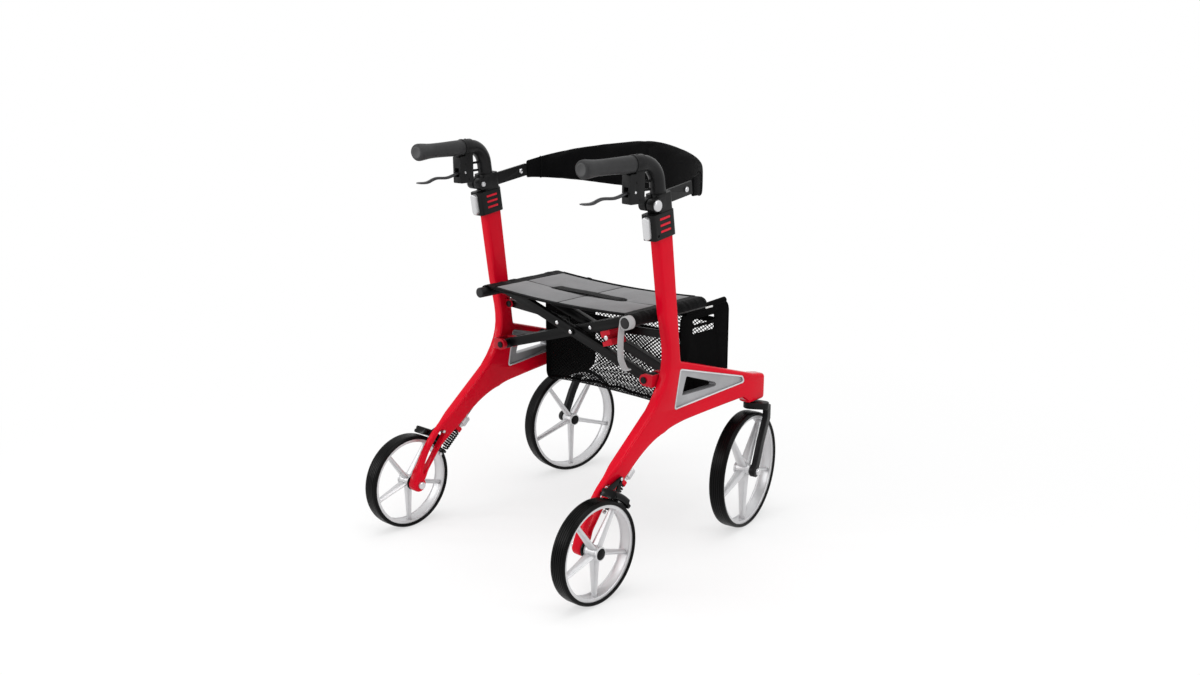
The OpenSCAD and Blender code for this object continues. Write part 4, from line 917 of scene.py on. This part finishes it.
# backrest clamps with a domed knob and bolts
clamp = {"mid": 224.2, "earY": -27.0, "earHalf": 18.0, "barX": -9.0, "barHalf": 2.5, "boltY": 93.0,
         "knob": ((0, 0.01), (0, 9.6), (0.8, 10.6), (2.2, 11), (3.4, 10.8), (4.4, 10.1), (4.9, 8.8), (5.3, 6.4),
                  (5.9, 3.0), (6.0, 0.01)),
         "shaftR": 3, "shaftLen": 40, "nutR": 5.5, "nutLen": 4, "headR": 5.4, "headH": 2.9}
for tag, sign in sides:
    plainCopy("backrest_clamp_" + tag, "handle_" + tag, "blackPlastic", 1.0)
ear = onPost @ move(clamp["earHalf"], clamp["earY"], clamp["mid"])
knob = lathe("knob", clamp["knob"], ear)
shaftPlace = alongX(ear @ move(0.5 - clamp["shaftLen"], 0, 0))
shaft = rod("clamp shaft", clamp["shaftR"], clamp["shaftLen"], shaftPlace, 0.4)
nut = rod("clamp nut", clamp["nutR"], clamp["nutLen"], alongX(ear @ move(-clamp["shaftLen"], 0, 0)), 0.6, 6)
bothSides(join(knob, shaft, nut), "clamp_knob", "handle", "knobSilver", "clamp_bolts")
barMid = onPost @ move(clamp["barX"], clamp["boltY"], clamp["mid"])
barHeads = [domedHead("bar bolt", clamp["headR"], clamp["headH"],
                      barMid @ turnBy(turned, "Z") @ move(clamp["barHalf"], 0, 0)) for turned in (0, 180)]
bothSides(join(*barHeads), "bar_bolts", "handle", "steel")
print("clamps made")

# wheels, about the x axis with their centre at the origin
# rim and shoulder points go in from the side and the edge, wall points in from the side and up from the rim,
# hub and cap points are (x, radius)
wheel = {
    "tyreD": 8.0, "tyreW": 34.0, "rimW": 27.0, "spokes": 5, "spokeW": 11.0, "spokeFrom": 9.0, "spokeIn": 4.4,
    "spokeDeep": 13.2, "spokeThin": 6.6, "spokeTaper": (0.92, 0.16), "spokeFlare": (0.9, 1.6),
    "spokeSteps": (0.0, 0.12, 0.3, 0.55, 0.8, 0.94, 1.0), "spokeFace": (0.22, 0.42),
    "rim": ((0, 0), (0, 5.6), (0.6, 6.4), (2.2, 6.4), (3.2, 5.4), (5.5, 4.6)), "rimMid": 4.2,
    "hub": ((-18, 5.1), (-18, 10.8), (-17.2, 11.6), (-14, 12.2), (-10, 13.6), (10, 13.6), (13.2, 12.8),
            (13.8, 13.8), (16.6, 13.9), (17.6, 13.2), (17.8, 11.4), (15.2, 11.2), (15.2, 0.01), (13.5, 0.01),
            (13.5, 5.1)),
    "wall": ((1.6, 0.0), (0.5, 0.8), (0.2, 2.0), (0.8, 2.6), (0.2, 3.2)), "wallLap": 0.1,
    "shoulder": ((0.0, 4.0), (0.3, 2.6), (1.5, 1.2), (2.6, 0.7), (3.2, 1.3), (3.8, 0.45)),
    "grooves": (9.6, 4.8, 0.0, -4.8, -9.6), "grooveTop": 0.9, "grooveLow": 0.6, "grooveD": 0.9,
    "cap": ((15.0, 0.01), (15.0, 11.0), (17.6, 11.0), (18.6, 10.2), (19.3, 7.6), (19.6, 3.6), (19.7, 0.01)),
}


def spoke(reach, turned):
    full, taper = wheel["spokeTaper"]
    flareFrom, flare = wheel["spokeFlare"]
    flat, chamfer = wheel["spokeFace"]
    face = ((flat, 1.0), (1.0, chamfer), (1.0, -chamfer), (flat, -1.0), (-flat, -1.0), (-1.0, -chamfer),
            (-1.0, chamfer), (-flat, 1.0))
    rings = []
    for share in wheel["spokeSteps"]:
        r = wheel["spokeFrom"] + (reach - wheel["spokeFrom"]) * share
        half = wheel["spokeW"] / 2 * (full - taper * share)
        deep = wheel["spokeDeep"] - wheel["spokeThin"] * share ** 0.85
        if share > flareFrom:
            half *= 1 + flare * (share - flareFrom)
        rings.append([(x * deep, t * half, r) for t, x in face])
    obj = softEdges(loft("spoke", rings), 0.9, 2, 20)
    obj.data.transform(turnBy(turned, "X"))
    return obj


def makeRim(radius):
    edge, half = radius - wheel["tyreD"], wheel["rimW"] / 2
    left = [(-half + x, edge - r) for x, r in wheel["rim"]]
    right = [(half - x, edge - r) for x, r in reversed(wheel["rim"])]
    ring = lathe("rim", left + [(0, edge - wheel["rimMid"])] + right, None, 120)
    hub = lathe("hub", wheel["hub"], None, 64)
    turn = 360 / wheel["spokes"]
    return join(ring, hub, *(spoke(edge - wheel["spokeIn"], 180 + turn * i) for i in range(wheel["spokes"])))


def makeTyre(radius):
    base, half = radius - wheel["tyreD"] + wheel["wallLap"], wheel["tyreW"] / 2
    right = [(half - x, base + r) for x, r in wheel["wall"]]
    right += [(half - x, radius - r) for x, r in wheel["shoulder"]]
    top, low, deep = wheel["grooveTop"], wheel["grooveLow"], radius - wheel["grooveD"]
    tread = []
    for x in wheel["grooves"]:
        tread += [(x + top, radius), (x + low, deep), (x - low, deep), (x - top, radius)]
    return lathe("tyre", right + tread + [(-x, r) for x, r in reversed(right)], None, 120)


rearPlace = move(w["rearX"], rearY, w["rearR"])
frontPlace = onCaster @ move(0, -w["trail"], w["frontR"]) @ flipX
for base, radius, place in (("rear", w["rearR"], rearPlace), ("front", w["frontR"], frontPlace)):
    for piece, kind, finish, nodes in ((makeRim(radius), "rim", "rimSilver", (base + "_rim",)),
                                       (makeTyre(radius), "tyre", "tyreRubber", (base + "_tyre",)),
                                       (lathe("cap", wheel["cap"]), "cap", "glossBlack", ())):
        piece.data.transform(place)
        if place.is_negative:
            piece.data.flip_normals()
        bothSides(piece, base + "_" + kind, base + "_wheel", finish, *nodes)
print("wheels made")

# axle bolts, forks, brackets, links and bars keep their solids' shapes
keptShapes = (
    ("rear_axle_", "frame_", "steel", 0.6, None),
    ("front_axle_", "caster_", "steel", 0.6, None),
    ("front_fork_", "caster_", "blackPlastic", 1.4, None),
    ("pivot_bracket_", "frame_", "redPlastic", 0.9, None),
    ("pivot_bolts_", "frame_", "springSteel", 0.7, "bright_steel"),
    ("side_link_", "link_", "darkBar", 1.0, None),
)
for tag, bar in (("r", "a"), ("l", "b")):
    for name, body, finish, width, slot in keptShapes:
        plainCopy(name + tag, body + tag, finish, width, slot=slot)
    plainCopy("cross_bars_" + bar, "cross_" + bar, "darkBar", 2.2)
plainCopy("centre_bolts", "cross_a", "springSteel", 0.9, slot="bright_steel")

# bolt heads on the bars, at a reach along them and a depth, then the latch, the pull strap and the axles' domes
barBolts = {"bar_bolt_a": ("cross_a", -43.5, -29.6), "bar_bolt_b": ("cross_b", 43.5, -17.0),
            "bar_bolt_mid": ("cross_a", 0.0, -32.6)}
domes = {"r": 7.8, "rearH": 4.6, "rearOut": 3.4, "frontH": 4.4, "frontOut": 35.2}
for name, (body, x, y) in barBolts.items():
    place = move(x * math.cos(barTurn), y, w["crossZ"] + abs(x) * math.sin(barTurn))
    dress(domedHead(name, 4.4, 2.6, place @ turnBy(-90, "Z")), body, "steel")
plainCopy("fold_latch", "cross_b", "redPlastic", 1.4)
plainCopy("fold_strap", "seat_r", "strapWebbing", 0.5, 2)
rearOut = planMid(rearY) - w["frameT"] / 2 - domes["rearOut"]
axleDome = domedHead("axle_dome", domes["r"], domes["rearH"], move(rearOut, rearY, w["rearR"]) @ turnBy(180, "Z"))
bothSides(axleDome, "axle_dome", "frame", "steel")
forkDome = domedHead("fork_dome", domes["r"], domes["frontH"],
                     onCaster @ move(domes["frontOut"], -w["trail"], w["frontR"]))
bothSides(forkDome, "fork_dome", "caster", "steel")

# rear brakes: a thick shoe wrapped over the tyre, a slim arm to its pin and a ring that the spring pulls on
brake = {"from": 38.0, "to": 71.0, "inner": 104.4, "t": 15.0, "w": 36.6, "x": 274.2, "edge": 6.6,
         "fillet": 0.01, "slantTo": 2.0, "slantFrom": 6.0, "armX": 255.0, "armT": 3.0, "armEdge": 0.8,
         "pinR": 5.0, "hookR": 6.0, "shoeR": 7.0, "shoeAt": 60.0, "ringR": 6.2, "ringWire": 2.4,
         "rodR": 3.6, "rodLen": 13.0, "rodX": 7.0, "headR": 3.4, "headH": 1.6,
         "spacer": ((0.1, 6.0), (0.1, 15.6), (0.5, 16.2), (2.2, 16.2), (2.6, 15.6), (2.6, 6.0))}
axle = Vector((rearY, w["rearR"]))
outer = brake["inner"] + brake["t"]
shoeLine = (arc(axle, brake["inner"], brake["from"], brake["to"], 12)
            + arc(axle, outer, brake["to"] - brake["slantTo"], brake["from"] + brake["slantFrom"], 12))
shoe = plate("brake_shoe", rounded(shoeLine, brake["fillet"], 1), brake["w"], brake["edge"], 6)
standUp(shoe, brake["x"])
shoeEnd = arc(axle, outer - brake["shoeR"], brake["shoeAt"], brake["shoeAt"] + 1, 1)[0]
arms = []
for end, r in ((hook, brake["hookR"]), (shoeEnd, brake["shoeR"])):
    arm = plate("brake arm", capsule(brakePin, end, brake["pinR"], r), brake["armT"], brake["armEdge"])
    arms.append(standUp(arm, brake["armX"] + brake["armT"] / 2))
ringLine = [(brake["ringR"] * math.cos(a), brake["ringR"] * math.sin(a), 0) for a in circle(24)]
onHook = onCable @ move(0, 0, -(lug - hook).length)
hookRing = tube("hook ring", inPlace(onHook, ringLine), brake["ringWire"], True)
hookRod = rod("hook rod", brake["rodR"], brake["rodLen"],
              alongX(move(planMid(lug.x) + brake["rodX"], hook.x, hook.y)), 0.8, 32)
bothSides(smooth(join(shoe, *arms, hookRing, hookRod), 40), "brake_arm", "brake", "glossBlack", "brake_arm")
pinHead = domedHead("brake_pin_head", brake["headR"], brake["headH"],
                    move(brake["armX"] + brake["armT"], brakePin.x, brakePin.y))
bothSides(pinHead, "brake_pin_head", "brake", "steel")
spacer = lathe("axle_spacer", brake["spacer"], move(planMid(rearY) + w["frameT"] / 2, rearY, w["rearR"]))
bothSides(spacer, "axle_spacer", "frame", "blackPlastic")

# the bright dot on the fold latch
latchDot = {"y": -47.0, "reach": 111.0, "drop": -24.6, "r": 5.0, "h": 2.0}
place = (move(0, latchDot["y"], w["crossZ"]) @ turnBy(-math.degrees(barTurn), "Y")
         @ move(latchDot["reach"], 0, latchDot["drop"]) @ turnBy(-90, "Z"))
dress(domedHead("latch_dot", latchDot["r"], latchDot["h"], place), "cross_b", "steel")

# seat rails with their end caps
rail = {"r": 11.0, "rear": -98.0, "len": 243.0, "capR": 10.2, "capT": 2.1, "caps": (-0.9, 241.8)}
for tag, sign in sides:
    along = move(sign * w["railX"], rail["rear"], w["seatZ"]) @ turnBy(-90, "X")
    bar = rod("seat_rail_" + tag + "_tube", rail["r"], rail["len"], along, 0.8, 56)
    dress(bar, "seat_" + tag, "blackTube", "seat_rail_" + tag)
    for k, at in enumerate(rail["caps"]):
        cap = rod("rail_cap_%s_%d" % (tag, k), rail["capR"], rail["capT"], along @ move(0, 0, at), 0.8, 56)
        dress(cap, "seat_" + tag, "capDark")

# brake springs, cable adjusters with a ribbed barrel, and the cables
coil = {"r": 6.3, "wire": 1.95, "curls": 8, "len": 44.58, "low": -56.18, "points": 20, "keep": 0.975}
barrel = {"neck": ((0.0, 0.01), (0.0, 4.3), (5.6, 4.3), (5.8, 6.2), (6.4, 6.6), (8.4, 6.6), (8.8, 9.2),
                   (9.6, 9.8)),
          "ribs": 6, "pitch": 2.6, "rib": ((10.4, 9.8), (10.9, 9.4), (11.4, 9.8)),
          "end": ((27.4, 9.7), (28.6, 8.6), (29.0, 6.4), (29.0, 0.01)),
          "clipR": 3.9, "clipLen": 6.6, "clipAt": -77.2, "cableR": 0.8, "cable": (-71, -30, 30, 86)}
helix = []
for k in range(coil["curls"] * coil["points"] + 1):
    a = 2 * math.pi * k / coil["points"]
    helix.append((coil["r"] * math.cos(a), coil["r"] * math.sin(a),
                  coil["low"] + coil["len"] * k / (coil["curls"] * coil["points"])))
spring = tube("brake_spring", inPlace(onCable, helix), coil["wire"], False, 3)
springPair = bothSides(spring, "brake_spring", "frame", "springSteel", "brake_spring")
for (tag, sign), piece in zip(sides, springPair):
    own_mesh(piece)
ribs = [(x + barrel["pitch"] * k, r) for k in range(barrel["ribs"]) for x, r in barrel["rib"]]
adjuster = lathe("cable_adjuster", [*barrel["neck"], *ribs, *barrel["end"]], onCable @ turnBy(-90, "Y"), 48)
clip = rod("cable clip", barrel["clipR"], barrel["clipLen"], onCable @ move(0, 0, barrel["clipAt"]), 0.8, 32)
bothSides(join(adjuster, clip), "cable_adjuster", "frame", "knobSilver", "cable_adjuster")
cable = tube("brake_cable", inPlace(onCable, [(0, 0, z) for z in barrel["cable"]]), barrel["cableR"], False, 3)
bothSides(cable, "brake_cable", "frame", "springSteel")
print("rigid pieces made")


def puff(obj, pinned, pressure, most, frames=20):
    # swells a closed skin like a stuffed cover; pinned points stay, and no point moves further than most
    rest = [v.co.copy() for v in obj.data.vertices]
    group = obj.vertex_groups.new(name="pinned")
    group.add([v.index for v in obj.data.vertices if pinned(v.co / mm)], 1.0, "REPLACE")
    cloth = obj.modifiers.new("cloth", "CLOTH")
    for key, value in (("quality", 6), ("mass", 0.25), ("tension_stiffness", 12), ("compression_stiffness", 12),
                       ("shear_stiffness", 6), ("bending_stiffness", 0.3), ("use_pressure", True),
                       ("uniform_pressure_force", pressure), ("vertex_group_mass", "pinned")):
        setattr(cloth.settings, key, value)
    cloth.settings.effector_weights.gravity = 0
    cloth.point_cache.frame_start = 1
    cloth.point_cache.frame_end = frames
    for number in range(1, frames + 1):
        bpy.context.scene.frame_set(number)
    applyAll(obj)
    bpy.context.scene.frame_set(1)
    for vertex, start in zip(obj.data.vertices, rest):
        step = vertex.co - start
        if step.length > most * mm:
            vertex.co = start + step.normalized() * most * mm
    return obj


# seat: black sheet between the rails, two wrinkled sleeves over them, four stuffed grey pads and a strap
seatCloth = {"rear": -81.0, "front": 143.0, "half": 190.0, "sag": 8.0, "top": 13.7, "sheet": 2.0,
             "hemR": 2.3, "hemHalf": 189.0, "hemIn": 0.5, "hemDrop": 0.6}
sleeve = {"r": 12.9, "t": 1.2, "from": -16.0, "to": 90.0, "round": 0.66, "lap": 6.0, "above": 0.2, "folds": 26,
          "wide": (3, 8), "deep": (0.3, 1.0), "slant": (-0.5, 0.5), "slantRun": 30.0, "most": 1.7, "sunk": 0.3}
pads = {"rear": (-70.0, 20.5, 20), "front": (23.5, 133.0, 22), "near": 1.6, "far": 183.0, "across": 34,
        "under": 0.3, "edge": 0.5, "crown": 5.2, "dip": 0.95, "dipHalf": 15.0, "held": 1.2,
        "pressure": 3.0, "most": 4.0}
strap = {"y": 22.0, "half": 103.0, "w": 26.0, "t": 1.8, "lift": 5.0, "wave": 0.9, "waveRun": 26.0, "endFrom": 0.88,
         "endLift": 4.1, "endDrop": 3.4, "crown": 0.7}
chance = random.Random(7)


def seatTop(x):
    return w["seatZ"] + seatCloth["top"] - seatCloth["sag"] * (1 - (x / w["railX"]) ** 2)


def gathers(obj):
    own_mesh(obj)
    return obj


rows = [[(x, y, seatTop(x)) for x in steps(-seatCloth["half"], seatCloth["half"], 60)]
        for y in steps(seatCloth["rear"], seatCloth["front"], 40)]
seatSheet = thicken(gridSkin("seat_sheet", rows), seatCloth["sheet"])
dress(seatSheet, "seat_l", "borderCloth", "seat_fabric")
gathers(seatSheet)


def sleevePoint(share):
    # round the rail from its outer side to its top, then flat over the sheet's edge
    if share < sleeve["round"]:
        a = math.radians(sleeve["from"] + (sleeve["to"] - sleeve["from"]) * share / sleeve["round"])
        out = Vector((math.cos(a), math.sin(a)))
        return w["railX"] + sleeve["r"] * out.x, w["seatZ"] + sleeve["r"] * out.y, out
    x = w["railX"] + ((seatCloth["half"] - sleeve["lap"] - w["railX"])
                      * (share - sleeve["round"]) / (1 - sleeve["round"]))
    return x, seatTop(x) + sleeve["above"], Vector((0, 1))


for tag, sign in sides:
    rows = []
    folds = [(chance.uniform(seatCloth["rear"], seatCloth["front"]), chance.uniform(*sleeve["wide"]),
              chance.uniform(*sleeve["deep"]), chance.uniform(*sleeve["slant"])) for k in range(sleeve["folds"])]
    for y in steps(seatCloth["rear"], seatCloth["front"], 110):
        row = []
        for share in steps(0, 1, 18):
            x, z, out = sleevePoint(share)
            crease = 0.0
            for at, wide, deep, slant in folds:
                d = (y - at - slant * sleeve["slantRun"] * (share - 0.5)) / wide
                crease += deep * math.exp(-d * d) * (0.35 + 0.65 * math.sin(math.pi * min(1, share * 1.1)))
            lift = min(sleeve["most"], crease) - sleeve["sunk"]
            row.append((sign * (x + out.x * lift), y, z + out.y * lift))
        rows.append(row if sign < 0 else row[::-1])
    cover = thicken(closeUp(gridSkin("seat_sleeve_" + tag, rows)), sleeve["t"], 0.0)
    dress(cover, "seat_" + tag, "borderCloth")


def padRise(x, y, u, v):
    # crowned in the middle, with a dip between the rear and front pads for the strap
    rise = pads["edge"] + pads["crown"] * (16 * u * (1 - u) * v * (1 - v)) ** 0.5
    inside = min(1.0, max(0.0, (strap["half"] + 8 - abs(x)) / 10))
    dip = inside * math.exp(-((y - strap["y"]) / pads["dipHalf"]) ** 4)
    return pads["under"] + (rise - pads["under"]) * (1 - pads["dip"] * dip)


def makePad(name, sign, low, high, deep):
    across = pads["across"]
    count = (across + 1) * (deep + 1)
    under, over, skins, ends, flanks = [], [], [], [], ([], [])
    for j in range(deep + 1):
        for i in range(across + 1):
            u, v = i / across, j / deep
            x, y = sign * (pads["near"] + (pads["far"] - pads["near"]) * u), low + (high - low) * v
            under.append((x, y, seatTop(x) + pads["under"]))
            over.append((x, y, seatTop(x) + padRise(x, y, u, v)))
            a = j * (across + 1) + i
            if i < across and j < deep:
                quad = (a, a + 1, a + across + 2, a + across + 1)
                skins += [quad[::-1], tuple(q + count for q in quad)]
            if i < across and j in (0, deep):
                ends.append((a, a + 1, a + 1 + count, a + count))
            if j < deep and i in (0, across):
                flanks[i > 0].append((a, a + across + 1, a + across + 1 + count, a + count))
    return closeUp(newObject(name, under + over, skins + ends + flanks[0] + flanks[1]))


for row in ("rear", "front"):
    for tag, sign in sides:
        pad = makePad("seat_pad_%s_%s" % (row, tag), sign, *pads[row])
        puff(pad, lambda p: p.z < seatTop(p.x) + pads["held"], pads["pressure"], pads["most"])
        subdivide(pad)
        dress(pad, "seat_l", "seatCloth")
        gathers(pad)
hemX = steps(-seatCloth["hemHalf"], seatCloth["hemHalf"], 40)
for name, inward in (("rear", seatCloth["hemIn"]), ("front", -seatCloth["hemIn"])):
    hemLine = [(x, seatCloth[name] + inward, seatTop(x) - seatCloth["hemDrop"]) for x in hemX]
    gathers(dress(tube("seat_hem_" + name, hemLine, seatCloth["hemR"], False, 3), "seat_l", "borderCloth"))
rows = []
for x in steps(-strap["half"], strap["half"], 44):
    past = abs(x) / strap["half"] - strap["endFrom"]
    lift = strap["lift"] + strap["wave"] * math.cos(x / strap["waveRun"])
    if past >= 0:
        lift = strap["endLift"] - strap["endDrop"] * past / (1 - strap["endFrom"])
    rows.append([(x, strap["y"] + v * strap["w"] / 2, seatTop(x) + lift + strap["crown"] * (1 - v * v))
                 for v in (-1, -0.6, 0, 0.6, 1)])
seatStrap = thicken(closeUp(gridSkin("seat_strap", rows)), strap["t"])
dress(seatStrap, "seat_l", "beltEdge")
gathers(seatStrap)
print("seat sewn")

# backrest: a padded belt that bows forward between the two bars
belt = {"barX": 232.0, "endY": 71.65, "endZ": 749.87, "bow": 150.0, "rise": 12.5, "h": 110.0, "endH": 38.0,
        "t": 17.0, "swell": 1.55, "plan": 1.1, "square": 0.55, "thin": 0.8, "short": 0.985,
        "seams": (0.085, 0.915), "seamR": 1.0, "seamHalf": 3.0, "heldFrom": 221.0, "pressure": 3.0, "most": 3.6,
        "keep": 0.335}


def beltPoint(share, a, thick=1.0, tall=1.0):
    q = math.pi - math.pi * share
    across = power(math.cos(q), belt["plan"])
    ahead = max(math.sin(q), 0.0) ** belt["plan"]
    full = max(math.sin(q), 0.0) ** belt["swell"]
    out = Vector((math.cos(q) / belt["barX"], math.sin(q) / belt["bow"])).normalized()
    mid = Vector((belt["barX"] * across, belt["endY"] + belt["bow"] * ahead))
    h = (belt["endH"] + (belt["h"] - belt["endH"]) * full) * tall
    t = belt["t"] * (1 + full) / 2 * thick
    p = mid + out * power(math.cos(a), belt["square"]) * t / 2
    return Vector((p.x, p.y, belt["endZ"] + belt["rise"] * ahead + power(math.sin(a), belt["square"]) * h / 2))


beltRings = [[beltPoint(share, a, belt["thin"], belt["short"]) for a in circle(36)] for share in steps(0, 1, 90)]
beltPad = loft("backrest_cushion", beltRings)
seamX = [beltPoint(s, 0).x for s in belt["seams"]]


def beltHeld(p):
    return abs(p.x) > belt["heldFrom"] or min(abs(p.x - x) for x in seamX) < belt["seamHalf"]


puff(beltPad, beltHeld, belt["pressure"], belt["most"])
subdivide(beltPad)
dress(beltPad, "handle_r", "beltCloth", "backrest_pad")
beltTrim = join(*(tube("belt seam", [beltPoint(s, a) for a in circle(40)], belt["seamR"], True, 3)
                  for s in belt["seams"]))
beltTrim.name = "backrest_seams"
dress(beltTrim, "handle_r", "beltEdge")
for piece in (beltPad, beltTrim):
    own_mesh(piece)
print("backrest sewn")

# bag: two stiff panels with piped edges and a net between them
bag = {"rear": 92.0, "front": 252.0, "low": 266.0, "high": 486.0, "rise": 8.0, "fillet": 26.0, "panelX": 195.9,
       "edgeR": 2.3, "edgeIn": 1.5, "topHem": 6.5, "topHemEnds": (10, 14),
       "clip": (2.6, 24, 3.6), "clipOut": 5.4, "clipY": 176.0}
hand = {"from": 128.8, "to": 204.0, "low": 454.0, "h": 13.0, "rib": 6.0, "fillet": 5.4, "out": 0.6, "in": 0.4,
        "edgeR": 1.0}
edgeX = bag["panelX"] - bag["edgeIn"]
for tag, sign in sides:
    plainCopy("bag_panel_" + tag, "frame_" + tag, "bagCloth", 0.9, 2)
    high = bag["high"] + (bag["rise"] if sign > 0 else 0)
    outline = [Vector(p) for p in ((bag["rear"], bag["low"]), (bag["front"], bag["low"]), (bag["front"], high),
                                   (bag["rear"], bag["high"]))]
    edging = tube("panel_edge_" + tag, [(sign * edgeX, p.x, p.y) for p in rounded(outline, bag["fillet"], 9)],
                  bag["edgeR"], True, 3)
    dress(edging, "frame_" + tag, "bagCloth")
slope = bag["rise"] / (bag["front"] - bag["rear"])
hemRear, hemFront = bag["rear"] + bag["topHemEnds"][0], bag["front"] - bag["topHemEnds"][1]
topHem = tube("panel_top_hem", [(edgeX, y, bag["high"] + slope * (y - bag["rear"]) - bag["edgeIn"])
                                for y in steps(hemRear, hemFront, 12)], bag["topHem"], False, 5)
dress(topHem, "frame_r", "bagCloth")
clipPlace = move(bag["panelX"] + bag["clipOut"], bag["clipY"], bag["high"] - 1)
dress(block("panel_clip", bag["clip"], clipPlace), "frame_r", "whiteClip")
pipes = []
for z in (hand["low"], hand["low"] - hand["h"] - hand["rib"]):
    corners = [Vector(p) for p in ((hand["from"], z), (hand["to"], z), (hand["to"], z + hand["h"]),
                                   (hand["from"], z + hand["h"]))]
    slot = rounded(insetPoints(corners, -hand["out"]), hand["fillet"])
    pipes.append(tube("slot edge", [(bag["panelX"] - hand["in"], p.x, p.y) for p in slot], hand["edgeR"], True, 2))
bothSides(join(*pipes), "slot_edges", "frame", "bagCloth")

# the net is sewn square to the panels at both ends and hangs in a round belly between them
netCut = {"half": 192.2, "top": 446.0, "in": 1.3, "cell": 11.0, "rows": 112, "cord": 1.0, "t": 0.6, "sag": 5.0,
          "hungCorner": 66.0, "belly": 0.9, "hemRows": 3, "hemT": 2.0, "seamR": 2.8, "seamRow": 38,
          "seamShort": 0.955, "anchorX": 192.9, "keep": 0.2175}
rowCount, netHalf = netCut["rows"], netCut["half"]


def netProfile(corner, low):
    # down the back, along the floor and up the front, in even steps
    rear, front, low = bag["rear"] + netCut["in"], bag["front"] - netCut["in"], low + netCut["in"]
    line = [Vector((rear, netCut["top"]))] + arc((rear + corner, low + corner), corner, 180, 270, 24)
    line += arc((front - corner, low + corner), corner, 270, 360, 24) + [Vector((front, netCut["top"]))]
    parts = [(b - a).length for a, b in zip(line, line[1:])]
    total, out, at, passed = sum(parts), [], 0, 0.0
    for want in steps(0, total, rowCount):
        while at < len(parts) - 1 and passed + parts[at] < want:
            passed, at = passed + parts[at], at + 1
        out.append(line[at].lerp(line[at + 1], (want - passed) / parts[at]))
    return out, total * mm


sewn, around = netProfile(bag["fillet"] - netCut["in"], bag["low"])
hung = netProfile(netCut["hungCorner"], bag["low"] - netCut["sag"])[0]


def netPoint(x, k):
    p = sewn[k].lerp(hung[k], netCut["belly"] * (1 - (x / netHalf) ** 2))
    return (x, p.x, p.y)


# a net of lozenges: each row of knots is half a cell aside from the last
columns = int(2 * netHalf / netCut["cell"])
knots, lozenges = [], []
for j in range(rowCount + 1):
    for i in range(columns + 1):
        knots.append(netPoint(-netHalf + 2 * netHalf * min(columns, i + 0.5 * (j % 2)) / columns, j))
for j in range(rowCount - 1):
    for i in range(1, columns):
        a, aside = j * (columns + 1) + i, j % 2
        lozenges.append((a, a + columns + 1 + aside, a + 2 * columns + 2, a + columns + aside))
net = newObject("bag_net", knots, lozenges)
# each lozenge becomes a flat frame of cords round a hole
editAll(net)
bpy.ops.mesh.inset(thickness=netCut["cord"] * mm, use_individual=True)
bpy.ops.mesh.delete(type="FACE")
leave()
thicken(net, netCut["t"], 0.0)
dress(net, "frame_r", "netCord", "bag_sling")
acrossNet = steps(-netHalf, netHalf, 50)
hems = [thicken(gridSkin("net hem", [[netPoint(x, k) for x in acrossNet] for k in band]), netCut["hemT"], 0.0)
        for band in (range(netCut["hemRows"] + 1), range(rowCount - netCut["hemRows"], rowCount + 1))]
netHem = join(*hems)
netHem.name = "net_hems"
dress(netHem, "frame_r", "bagCloth")
# the wavy seam low on the net's back
seamLine = []
for x in steps(-netHalf, netHalf, 60):
    across, y, z = netPoint(x, netCut["seamRow"])
    seamLine.append((across * netCut["seamShort"], y + 1.2 * math.sin(x / 9),
                     z + 1.6 * math.sin(x / 13) + 0.8 * math.sin(x / 5)))
netSeam = dress(tube("net_seam", seamLine, netCut["seamR"], False, 3), "frame_r", "bagCloth")
for piece in (net, netHem, netSeam):
    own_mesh(piece)
print("bag sewn")
